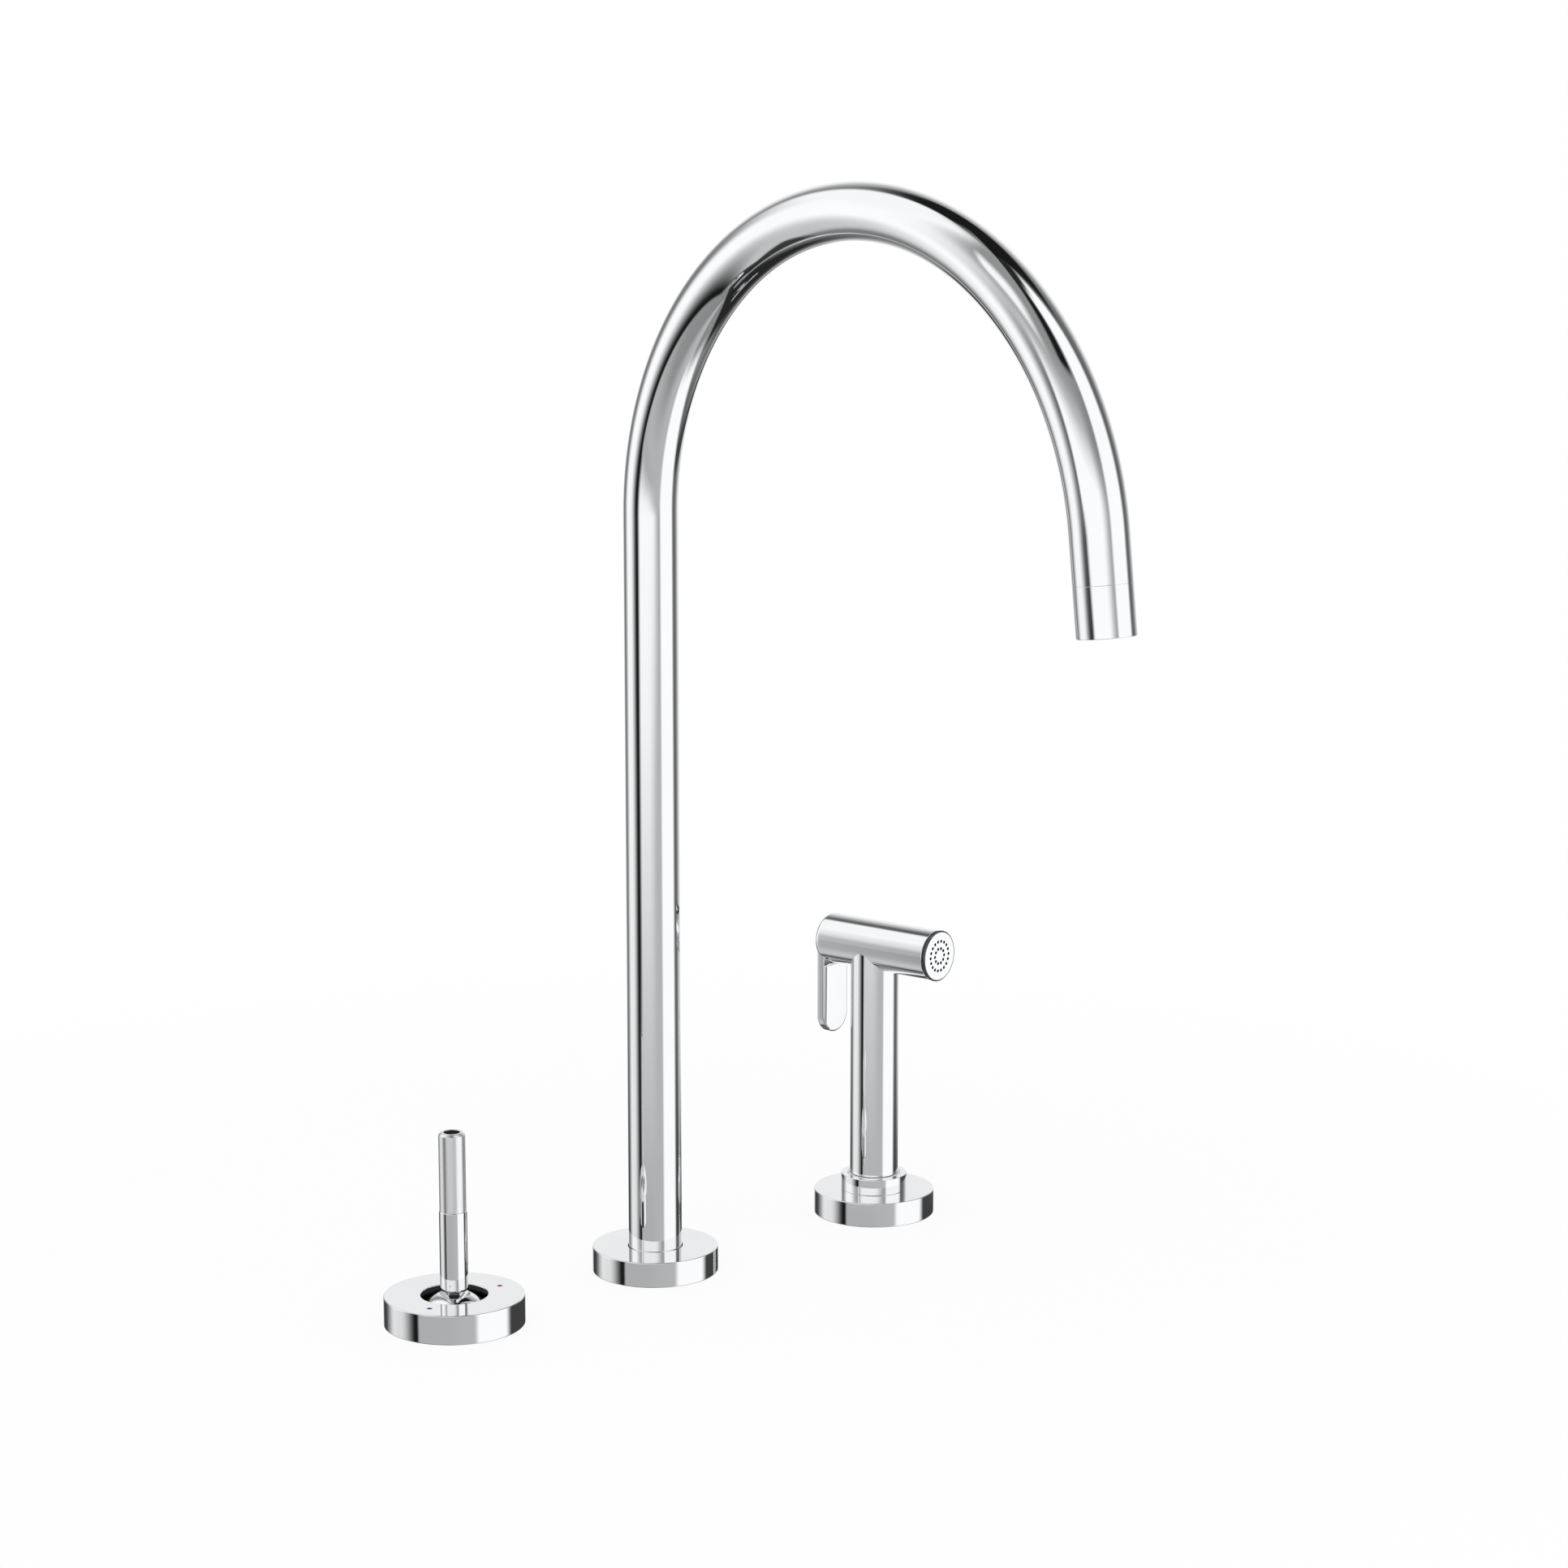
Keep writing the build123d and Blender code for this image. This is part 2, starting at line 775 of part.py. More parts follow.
# Brass valve body: head, cartridge bore, and three tapped hose ports in the end of the shank.
with BuildPart() as valve_body:
    revolve(
        outline(
            valve_section,
            (0, shank_end),
            (shank_r, shank_end),
            *stop_groove(shank_r),
            (shank_r, gasket_t),
            (valve_head_r, gasket_t),
            (valve_head_r, valve_head_top),
            (dome_well_r, valve_head_top),
            (dome_well_r, dome_well_floor),
            (cartridge_nut_r + push_gap, dome_well_floor),
            (cartridge_nut_r + push_gap, cartridge_top - thread_runout),
            (cartridge_r + push_gap, cartridge_top - thread_runout),
            (cartridge_r + push_gap, cartridge_floor),
            (0, cartridge_floor),
        ),
        axis=valve_axis,
    )
    with BuildSketch(valve_plane.offset(shank_end)):
        with Locations(*inlet_places(hose_port_circle_r)):
            Circle(hose_port_r)
    extrude(amount=hose_port_len, mode=Mode.SUBTRACT)
    with BuildSketch(valve_plane.offset(shank_end)):
        Circle(hose_port_r)
    extrude(amount=outlet_port_len, mode=Mode.SUBTRACT)
    with BuildSketch(valve_plane.offset(cartridge_floor)):
        with Locations(*cartridge_ports):
            Circle(port_r)
    extrude(amount=shank_end + hose_port_len - cartridge_floor, mode=Mode.SUBTRACT)
    with BuildSketch(valve_plane.offset(cartridge_floor)):
        Circle(port_r)
    extrude(amount=shank_end + outlet_port_len - cartridge_floor, mode=Mode.SUBTRACT)
finish(valve_body, "valve_body")

# Cartridge housing: base with three ports, wide well for the discs, neck for the rotor.
seal_pocket_r = port_seal_ring_r + port_seal_r + push_gap
with BuildPart() as cartridge_housing:
    revolve(
        outline(
            valve_section,
            (0, cartridge_floor),
            (cartridge_r, cartridge_floor),
            (cartridge_r, cartridge_top),
            (cartridge_neck_r, cartridge_top),
            (cartridge_neck_r, cartridge_neck_top),
            (rotor_r + slide_gap, cartridge_neck_top),
            (rotor_r + slide_gap, rotor_floor),
            (disc_well_r, rotor_floor),
            (disc_well_r, disc_floor),
            (0, disc_floor),
        ),
        axis=valve_axis,
    )
    with BuildSketch(valve_plane.offset(cartridge_floor)):
        with Locations(*cartridge_ports):
            Circle(port_r)
    extrude(amount=disc_floor - cartridge_floor, mode=Mode.SUBTRACT)
    with BuildSketch(valve_plane.offset(cartridge_floor)):
        with Locations(*cartridge_ports):
            Circle(seal_pocket_r)
    extrude(amount=2 * port_seal_r, mode=Mode.SUBTRACT)
finish(cartridge_housing, "cartridge_housing")

# O-rings round the three ports, between the cartridge and the valve body.
with BuildPart() as port_seals:
    with Locations(valve_plane.offset(cartridge_floor + port_seal_r)):
        with Locations(*cartridge_ports):
            Torus(port_seal_ring_r, port_seal_r)
finish(port_seals, "port_seals")

# Ring nut that clamps the cartridge into the body.
with BuildPart() as cartridge_nut:
    extrude(
        ring_face(
            valve_plane.offset(cartridge_top), cartridge_nut_r, cartridge_neck_r + push_gap
        ),
        amount=cartridge_nut_h,
    )
finish(cartridge_nut, "cartridge_nut")

# Fixed ceramic disc with the three ports, lying on the floor of the well.
fixed_disc_top = disc_floor + disc_t
with BuildPart() as fixed_disc:
    with BuildSketch(valve_plane.offset(disc_floor)):
        Circle(disc_well_r - slide_gap)
        with Locations(*cartridge_ports):
            Circle(port_r, mode=Mode.SUBTRACT)
    extrude(amount=disc_t)
finish(fixed_disc, "fixed_disc")

# Moving ceramic disc: slides on the fixed one, with a mixing pocket in its underside.
moving_disc_low = fixed_disc_top + push_gap
moving_disc_top = moving_disc_low + disc_t
with BuildPart() as moving_disc:
    with BuildSketch(valve_plane.offset(moving_disc_low)):
        Circle(moving_disc_r)
    extrude(amount=disc_t)
    with BuildSketch(valve_plane.offset(moving_disc_low)):
        Circle(mixing_pocket_r)
    extrude(amount=mixing_pocket_t, mode=Mode.SUBTRACT)
finish(moving_disc, "moving_disc")

# Carrier on top of the moving disc: a pocket for the spindle's ball and two key grooves.
with BuildPart() as disc_carrier:
    with BuildSketch(valve_plane.offset(moving_disc_top)):
        Circle(moving_disc_r)
    extrude(amount=carrier_top - moving_disc_top)
    with BuildSketch(valve_plane.offset(carrier_top)):
        Circle(carrier_pocket_r)
    extrude(amount=carrier_pocket_floor - carrier_top, mode=Mode.SUBTRACT)
    with BuildSketch(valve_plane.offset(carrier_top)):
        with Locations((-key_x, 0), (key_x, 0)):
            Rectangle(key_w + 2 * free_gap, 2 * moving_disc_r)
    extrude(amount=rotor_floor - key_h - free_gap - carrier_top, mode=Mode.SUBTRACT)
finish(disc_carrier, "disc_carrier")

# Rotor: turns in the cartridge's neck, carries the tilt pin and drives the carrier by keys.
rotor_flange_low = cartridge_neck_top + slide_gap
rotor_top = rotor_flange_low + rotor_flange_t
spindle_slot_w = 2 * (ball_r + free_gap)
with BuildPart() as cartridge_rotor:
    with BuildSketch(valve_plane.offset(rotor_floor)):
        Circle(rotor_r)
    extrude(amount=rotor_top - rotor_floor)
    with BuildSketch(valve_plane.offset(rotor_flange_low)):
        Circle(rotor_flange_r)
    extrude(amount=rotor_flange_t)
    with BuildSketch(valve_plane.offset(rotor_floor)):
        with Locations((-key_x, 0), (key_x, 0)):
            Rectangle(key_w, key_len)
    extrude(amount=-key_h)
    with BuildSketch(valve_plane.offset(rotor_floor)):
        with Locations((0, (slot_back - slot_front) / 2)):
            Rectangle(spindle_slot_w, slot_front + slot_back)
    extrude(amount=rotor_top - rotor_floor, mode=Mode.SUBTRACT)
    tilt_pin_plane = Plane(
        origin=valve_plane.from_local_coords((0, 0, pivot_z)),
        x_dir=valve_plane.y_dir,
        z_dir=valve_plane.x_dir,
    )
    with BuildSketch(tilt_pin_plane):
        Circle(tilt_pin_r + push_gap)
    extrude(amount=rotor_r, both=True, mode=Mode.SUBTRACT)
finish(cartridge_rotor, "cartridge_rotor")

# Steel pin on which the spindle tilts.
with BuildPart() as tilt_pin:
    with BuildSketch(tilt_pin_plane):
        Circle(tilt_pin_r)
    extrude(amount=rotor_r - slide_gap, both=True)
finish(tilt_pin, "tilt_pin")

# Spindle: ball end in the carrier, eye on the pin, shoulder under the dome, stud in the stick.
ball_z = pivot_z - ball_drop
shoulder_top = dimple_floor_z - dimple_floor_t
with BuildPart() as joystick_spindle:
    with BuildSketch(valve_plane.offset(ball_z)):
        Circle(spindle_neck_r)
    extrude(amount=spindle_neck_z - ball_z)
    with BuildSketch(valve_plane.offset(spindle_neck_z)):
        Circle(spindle_r)
    extrude(amount=spindle_shoulder_z - spindle_neck_z)
    with BuildSketch(valve_plane.offset(spindle_shoulder_z)):
        Circle(spindle_shoulder_r)
    extrude(amount=shoulder_top - spindle_shoulder_z)
    with BuildSketch(valve_plane.offset(shoulder_top)):
        Circle(stud_r)
    extrude(amount=stud_len)
    with Locations(valve_plane.offset(ball_z)):
        Sphere(ball_r)
    with BuildSketch(tilt_pin_plane):
        Circle(tilt_pin_r + run_gap)
    extrude(amount=spindle_r, both=True, mode=Mode.SUBTRACT)
finish(joystick_spindle, "joystick_spindle")


# Dome: a spherical shell round the tilt axis with a conical dimple for the stick's tip.
def on_sphere(radius, r):
    """Height at which a sphere round the tilt pivot has the radius r."""
    return pivot_z + sqrt(radius**2 - r**2)


dome_inner_r = dome_r - dome_wall
rim_angle = radians(dome_half_angle)
outer_rim = (dome_r * sin(rim_angle), pivot_z + dome_r * cos(rim_angle))
inner_rim = (dome_inner_r * sin(rim_angle), pivot_z + dome_inner_r * cos(rim_angle))
dimple_back_r = dimple_rim_r + dome_wall / 2
with BuildPart() as dome_cap:
    with BuildSketch(valve_section):
        with BuildLine():
            outer_top = (dimple_rim_r, on_sphere(dome_r, dimple_rim_r))
            inner_top = (dimple_back_r, on_sphere(dome_inner_r, dimple_back_r))
            RadiusArc(outer_rim, outer_top, -dome_r)
            Polyline(
                outer_top,
                (dimple_floor_r, dimple_floor_z),
                (stud_r + push_gap, dimple_floor_z),
                (stud_r + push_gap, shoulder_top),
                (dimple_floor_r + dome_wall / 2, shoulder_top),
                inner_top,
            )
            RadiusArc(inner_top, inner_rim, dome_inner_r)
            Line(inner_rim, outer_rim)
        make_face()
    revolve(axis=valve_axis)
finish(dome_cap, "dome_cap")

# Stick: pointed foot on the dome, polished shank, thinner core inside the grip.
stud_hole_top = shoulder_top + stud_len + free_gap
screw_hole_low = grip_core_top - screw_len
with BuildPart() as stick_rod:
    revolve(
        outline(
            valve_section,
            (stud_r + push_gap, dimple_floor_z),
            (stick_tip_r, dimple_floor_z),
            (stick_tip_r, stick_tip_z),
            (stick_r, stick_tip_z + stick_r - stick_tip_r),
            (stick_r, stick_seam_z),
            (grip_core_r, stick_seam_z),
            (grip_core_r, grip_core_top),
            (stud_r + push_gap, grip_core_top),
            (stud_r + push_gap, screw_hole_low),
            (0, screw_hole_low),
            (0, stud_hole_top),
            (stud_r + push_gap, stud_hole_top),
        ),
        axis=valve_axis,
    )
finish(stick_rod, "stick_rod")

# Grip sleeve: slips over the core, chamfered at the top, open for the screw.
screw_seat = grip_core_top + grip_step_t
with BuildPart() as stick_grip:
    revolve(
        outline(
            valve_section,
            (grip_core_r + push_gap, stick_seam_z),
            (grip_r, stick_seam_z),
            (grip_r, stick_top_z - grip_chamfer),
            (grip_r - grip_chamfer, stick_top_z),
            (key_hole_r, stick_top_z),
            (key_hole_r, screw_seat),
            (grip_step_r, screw_seat),
            (grip_step_r, grip_core_top),
            (grip_core_r + push_gap, grip_core_top),
        ),
        axis=valve_axis,
    )
finish(stick_grip, "stick_grip")

# Socket screw at the bottom of the hole in the grip.
with BuildPart() as grip_screw:
    with BuildSketch(valve_plane.offset(screw_seat)):
        Circle(screw_head_r)
    extrude(amount=screw_head_h)
    with BuildSketch(valve_plane.offset(screw_seat)):
        Circle(stud_r)
    extrude(amount=screw_hole_low + free_gap - screw_seat)
    with BuildSketch(valve_plane.offset(screw_seat + screw_head_h)):
        RegularPolygon(hex_key_r, hex_sides)
    extrude(amount=-hex_key_depth, mode=Mode.SUBTRACT)
finish(grip_screw, "grip_screw")

# ==== Side spray holder ====================================================================
collar_top_z = flange_h + holder_collar_h

# Escutcheon of the side spray: a solid ring with a shallow recess for the deck seal.
with BuildPart() as spray_flange:
    revolve(
        outline(
            spray_section,
            (flange_recess_r, 0),
            (flange_r, 0),
            (flange_r, flange_h - edge_break),
            (flange_r - edge_break, flange_h),
            (holder_shank_r + push_gap, flange_h),
            (holder_shank_r + push_gap, gasket_t),
            (flange_recess_r, gasket_t),
        ),
        axis=spray_axis,
    )
finish(spray_flange, "spray_flange")

with BuildPart() as spray_gasket:
    extrude(
        ring_face(spray_plane, flange_recess_r - push_gap, flange_recess_r - push_gap - gasket_w),
        amount=gasket_t,
    )
finish(spray_gasket, "spray_gasket")

# Holder sleeve: polished collar on the flange, threaded tube through the worktop.
with BuildPart() as holder_sleeve:
    revolve(
        outline(
            spray_section,
            (holder_bore_r, holder_end),
            (holder_shank_r, holder_end),
            *stop_groove(holder_shank_r),
            (holder_shank_r, flange_h),
            (holder_collar_r, flange_h),
            (holder_collar_r, collar_top_z - edge_break),
            (holder_collar_r - edge_break, collar_top_z),
            (holder_bore_r, collar_top_z),
        ),
        axis=spray_axis,
    )
finish(holder_sleeve, "holder_sleeve")

# Plastic bush that guides the handset's spigot and the hose end.
with BuildPart() as holder_bush:
    extrude(
        ring_face(spray_plane.offset(bush_floor), holder_bore_r - push_gap, bush_bore_r),
        amount=collar_top_z - bush_floor,
    )
finish(holder_bush, "holder_bush")

with BuildPart() as spray_rubber_washer:
    extrude(
        ring_face(spray_plane.offset(rubber_low), clamp_r, holder_shank_r + push_gap),
        amount=rubber_washer_t,
    )
finish(spray_rubber_washer, "spray_rubber_washer")

with BuildPart() as spray_steel_washer:
    extrude(
        ring_face(spray_plane.offset(steel_low), clamp_r, holder_shank_r + push_gap),
        amount=steel_washer_t,
    )
finish(spray_steel_washer, "spray_steel_washer")

with BuildPart() as spray_nut:
    with BuildSketch(spray_plane.offset(nut_low)):
        RegularPolygon(nut_r, hex_sides)
        Circle(holder_shank_r + push_gap, mode=Mode.SUBTRACT)
    extrude(amount=nut_h)
finish(spray_nut, "spray_nut")

# ==== Hose end, which lifts with the handset and lets it turn ==============================
stem_foot = collar_top_z + rest_gap
thread_end = spigot_end - hose_thread_len
cup_bore = hose_thread_r + slide_gap
with BuildPart() as hose_connector:
    revolve(
        outline(
            spray_section,
            (hose_bore_r, barb_end),
            (barb_r, barb_end),
            (barb_r, connector_neck_z),
            (connector_r, connector_cup_floor),
            (connector_r, spigot_end - free_gap),
            (cup_bore, spigot_end - free_gap),
            (cup_bore, thread_end - free_gap),
            (hose_bore_r, thread_end - free_gap),
        ),
        axis=spray_axis,
    )
    ridge_count = int((connector_neck_z - barb_end) / barb_pitch) - 1
    for ridge in range(ridge_count):
        ridge_z = barb_end + (ridge + 1) * barb_pitch
        revolve(
            outline(
                spray_section,
                (barb_r - barb_ridge, ridge_z - barb_pitch / 2),
                (barb_r + barb_ridge, ridge_z),
                (barb_r - barb_ridge, ridge_z),
            ),
            axis=spray_axis,
        )
finish(hose_connector, "hose_connector")

# ==== Handset ==============================================================================
stem_bore_r = stem_r - stem_wall
head_bore_r = head_r - head_wall

# Body: upright stem and level head, both bored, meeting in a saddle-shaped joint.
with BuildPart() as handset_body:
    with BuildSketch(spray_plane.offset(stem_foot)):
        Circle(stem_r)
    extrude(amount=head_z - stem_foot)
    with BuildSketch(head_plane.offset(-head_back)):
        Circle(head_r)
    extrude(amount=head_back + head_front)
    with BuildSketch(spray_plane.offset(stem_foot)):
        Circle(stem_bore_r)
    extrude(amount=head_z - stem_foot, mode=Mode.SUBTRACT)
    with BuildSketch(head_plane.offset(-head_back)):
        Circle(head_bore_r)
    extrude(amount=head_back + head_front, mode=Mode.SUBTRACT)
finish(handset_body, "handset_body")

# Inlet spigot screwed into the foot of the stem, with the hose thread below.
with BuildPart() as handset_inlet:
    extrude(
        ring_face(spray_plane.offset(stem_foot), stem_bore_r - push_gap, inlet_bore_r),
        amount=inlet_grip,
    )
    extrude(
        ring_face(spray_plane.offset(spigot_end), spigot_r, inlet_bore_r),
        amount=stem_foot - spigot_end,
    )
    extrude(
        ring_face(spray_plane.offset(thread_end), hose_thread_r, inlet_bore_r),
        amount=hose_thread_len,
    )
finish(handset_inlet, "handset_inlet")

# Nozzle body: a liner in the front of the head whose rim stands out as a narrow neck.
insert_fit_r = head_bore_r - push_gap
face_back = head_front + face_gap
with BuildPart() as nozzle_body:
    revolve(
        outline(
            head_section,
            (nozzle_back, nozzle_bore_r),
            (nozzle_back, insert_fit_r),
            (head_front, insert_fit_r),
            (head_front, neck_r),
            (face_back, neck_r),
            (face_back, nozzle_bore_r),
        ),
        axis=head_axis,
    )
finish(nozzle_body, "nozzle_body")

# Spray face: a thin disc wider than the head, with two rings of spray holes.
face_front = face_back + face_t
with BuildPart() as spray_face:
    with BuildSketch(head_plane.offset(face_back)):
        Circle(face_r)
    extrude(amount=face_t)
    chamfer(spray_face.edges().filter_by(GeomType.CIRCLE), length=face_rim)
    with BuildSketch(head_plane.offset(face_back)):
        Circle(nozzle_bore_r - push_gap)
    extrude(amount=-face_hub_len)
    with BuildSketch(head_plane.offset(face_front)):
        with PolarLocations(outer_ring_r, outer_ring_holes):
            Circle(spray_hole_r)
        with PolarLocations(inner_ring_r, inner_ring_holes):
            Circle(spray_hole_r)
    extrude(amount=-face_t - face_hub_len, mode=Mode.SUBTRACT)
finish(spray_face, "spray_face")

# Valve seat behind the nozzle body.
with BuildPart() as valve_seat:
    extrude(
        ring_face(head_plane.offset(seat_back), insert_fit_r, seat_opening_r),
        amount=nozzle_back - seat_back,
    )
finish(valve_seat, "valve_seat")

# Rear plug: gland for the pull rod, with two ears that hold the lever's pin.
pin_plane = Plane(
    origin=head_section.from_local_coords((lever_pin_u, lever_pin_z, 0)),
    x_dir=forward,
    z_dir=spray_plane.x_dir,
)
with BuildPart() as rear_plug:
    with BuildSketch(head_plane.offset(plug_front)):
        Circle(insert_fit_r)
    extrude(amount=-plug_t)
    with BuildSketch(head_plane.offset(plug_front - plug_t)):
        with Locations(((ear_in + ear_out) / 2, (ear_low + ear_top) / 2)):
            Rectangle(ear_out - ear_in, ear_top - ear_low)
        with Locations((-(ear_in + ear_out) / 2, (ear_low + ear_top) / 2)):
            Rectangle(ear_out - ear_in, ear_top - ear_low)
        Circle(insert_fit_r, mode=Mode.INTERSECT)
    extrude(amount=ear_back - plug_front + plug_t)
    with BuildSketch(head_plane.offset(plug_front)):
        Circle(rod_r + slide_gap)
    extrude(amount=-plug_t, mode=Mode.SUBTRACT)
    with BuildSketch(pin_plane):
        Circle(lever_pin_r + push_gap)
    extrude(amount=insert_fit_r, both=True, mode=Mode.SUBTRACT)
finish(rear_plug, "rear_plug")

with BuildPart() as lever_pin:
    with BuildSketch(pin_plane):
        Circle(lever_pin_r)
    extrude(amount=lever_pin_len / 2, both=True)
finish(lever_pin, "lever_pin")

# Pull rod: knob behind the lever's fork, rod through the plug, poppet behind the seat.
poppet_front = seat_back - run_gap - poppet_seal_t
poppet_back = poppet_front - poppet_t
knob_front = knob_back + knob_t
with BuildPart() as pull_rod:
    revolve(
        outline(
            head_section,
            (knob_back, 0),
            (knob_back, knob_r),
            (knob_front, knob_r),
            (knob_front, rod_r),
            (poppet_back, rod_r),
            (poppet_back, poppet_r),
            (poppet_front, poppet_r),
            (poppet_front, 0),
        ),
        axis=head_axis,
    )
finish(pull_rod, "pull_rod")

with BuildPart() as poppet_seal:
    with BuildSketch(head_plane.offset(poppet_front)):
        Circle(poppet_r)
    extrude(amount=poppet_seal_t)
finish(poppet_seal, "poppet_seal")

# Return spring round the rod, seated on the poppet, with the stroke's play before the plug.
rod_spring_len = poppet_back - rod_spring_play - plug_front - 2 * rod_wire_r
with BuildPart() as rod_spring:
    add(
        coil(
            head_plane.offset(plug_front + rod_spring_play + rod_wire_r),
            rod_coil_r,
            rod_wire_r,
            rod_spring_len,
            rod_turns,
        )
    )
finish(rod_spring, "rod_spring")

# Lever: a round cap that closes the head, with a broad tongue below and a forked lug inside.
# A shallow notch across its front, below the pin, lets it tilt without touching the head.
lever_front = -head_back - lever_gap
lever_back = lever_front - lever_t
tongue_drop = lever_reach - lever_w / 2
with BuildPart() as spray_lever:
    with BuildSketch(head_plane.offset(lever_back)):
        with Locations((0, -tongue_drop / 2)):
            Rectangle(lever_w, tongue_drop)
        with Locations((0, -tongue_drop)):
            Circle(lever_w / 2)
    extrude(amount=lever_t)
    fillet(spray_lever.faces().sort_by(head_axis)[0].edges(), radius=lever_edge)
    with BuildSketch(head_section):
        with BuildLine():
            Polyline(
                (lever_back, head_r - lever_rim),
                (lever_back, 0),
                (lever_front, 0),
                (lever_front, head_r),
                (lever_back + lever_rim, head_r),
            )
            RadiusArc((lever_back + lever_rim, head_r), (lever_back, head_r - lever_rim), -lever_rim)
        make_face()
    revolve(axis=head_axis)
    extrude(
        outline(
            head_section,
            (lever_front, relief_top),
            (lever_front - relief_t, -head_r),
            (lever_front, relief_low),
        ),
        amount=head_r,
        both=True,
        mode=Mode.SUBTRACT,
    )
    with BuildSketch(head_section.offset(-lug_w / 2)):
        with BuildLine():
            Polyline(
                (lever_front, lever_pin_z - lug_r),
                (lever_pin_u, lever_pin_z - lug_r),
                (lever_pin_u, lever_pin_z + lug_r),
                (lever_front, lever_pin_z + lug_r),
                close=True,
            )
        make_face()
        with Locations((lever_pin_u, lever_pin_z)):
            Circle(lug_r)
    extrude(amount=lug_w)
    with BuildSketch(head_plane.offset(fork_back)):
        with Locations((0, (fork_top + lever_pin_z) / 2)):
            Rectangle(lug_w, fork_top - lever_pin_z)
        with Locations((0, (fork_top + fork_slot_floor) / 2)):
            Rectangle(fork_slot_w, fork_top - fork_slot_floor, mode=Mode.SUBTRACT)
    extrude(amount=fork_front - fork_back)
    with BuildSketch(head_plane.offset(lever_front)):
        Circle(knob_pocket_r)
    extrude(amount=-knob_pocket_t, mode=Mode.SUBTRACT)
    with BuildSketch(pin_plane):
        Circle(lever_pin_r + run_gap)
    extrude(amount=lug_w, both=True, mode=Mode.SUBTRACT)
finish(spray_lever, "spray_lever")
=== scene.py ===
import json
from math import asin, atan2, cos, inf, pi, radians, sin, sqrt

import bmesh
import bpy
from mathutils import Matrix, Vector


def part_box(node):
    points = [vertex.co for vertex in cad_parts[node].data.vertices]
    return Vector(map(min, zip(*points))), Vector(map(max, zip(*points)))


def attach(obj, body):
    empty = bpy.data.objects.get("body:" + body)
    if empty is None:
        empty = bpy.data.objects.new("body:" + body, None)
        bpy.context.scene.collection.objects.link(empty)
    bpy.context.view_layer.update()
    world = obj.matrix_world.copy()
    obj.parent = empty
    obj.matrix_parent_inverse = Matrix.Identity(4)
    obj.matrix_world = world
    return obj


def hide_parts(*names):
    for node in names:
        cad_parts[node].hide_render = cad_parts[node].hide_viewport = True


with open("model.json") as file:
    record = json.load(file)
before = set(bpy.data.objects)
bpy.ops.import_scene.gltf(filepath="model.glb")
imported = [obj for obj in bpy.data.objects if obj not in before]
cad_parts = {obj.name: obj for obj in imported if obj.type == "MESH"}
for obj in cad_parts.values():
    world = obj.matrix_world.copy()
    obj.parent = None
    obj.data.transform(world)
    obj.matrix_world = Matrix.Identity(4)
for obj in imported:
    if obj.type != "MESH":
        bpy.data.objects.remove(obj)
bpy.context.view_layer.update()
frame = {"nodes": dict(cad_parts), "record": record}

# ---- The studio: camera ----------------------------------------------------------------------
# A long lens looks down on the faucet from the front left. The three units stand on one level,
# and the camera's aim is a point between the spout and the side spray.
picture_px = 1932
focal_px = 4765.1
view_turn = radians(41.84)
view_pitch = radians(10.69)
view_distance = 1.5805
aim_height = 0.2064
aim_side = 0.0538
sensor_mm = 36.0
sight_limit = 20.0

view_right = Vector((cos(view_turn), -sin(view_turn), 0))
view_forward = Vector(
    (sin(view_turn) * cos(view_pitch), cos(view_turn) * cos(view_pitch), -sin(view_pitch))
)
lens = bpy.data.cameras.new("camera")
lens.sensor_width = sensor_mm
lens.lens = focal_px / picture_px * sensor_mm
lens.clip_end = sight_limit
camera = bpy.data.objects.new("camera", lens)
camera.location = Vector((0, 0, aim_height)) + view_right * aim_side - view_forward * view_distance
camera.rotation_euler = (pi / 2 - view_pitch, 0, -view_turn)
bpy.context.scene.collection.objects.link(camera)
bpy.context.scene.camera = camera
bpy.context.scene.view_settings.view_transform = "Standard"


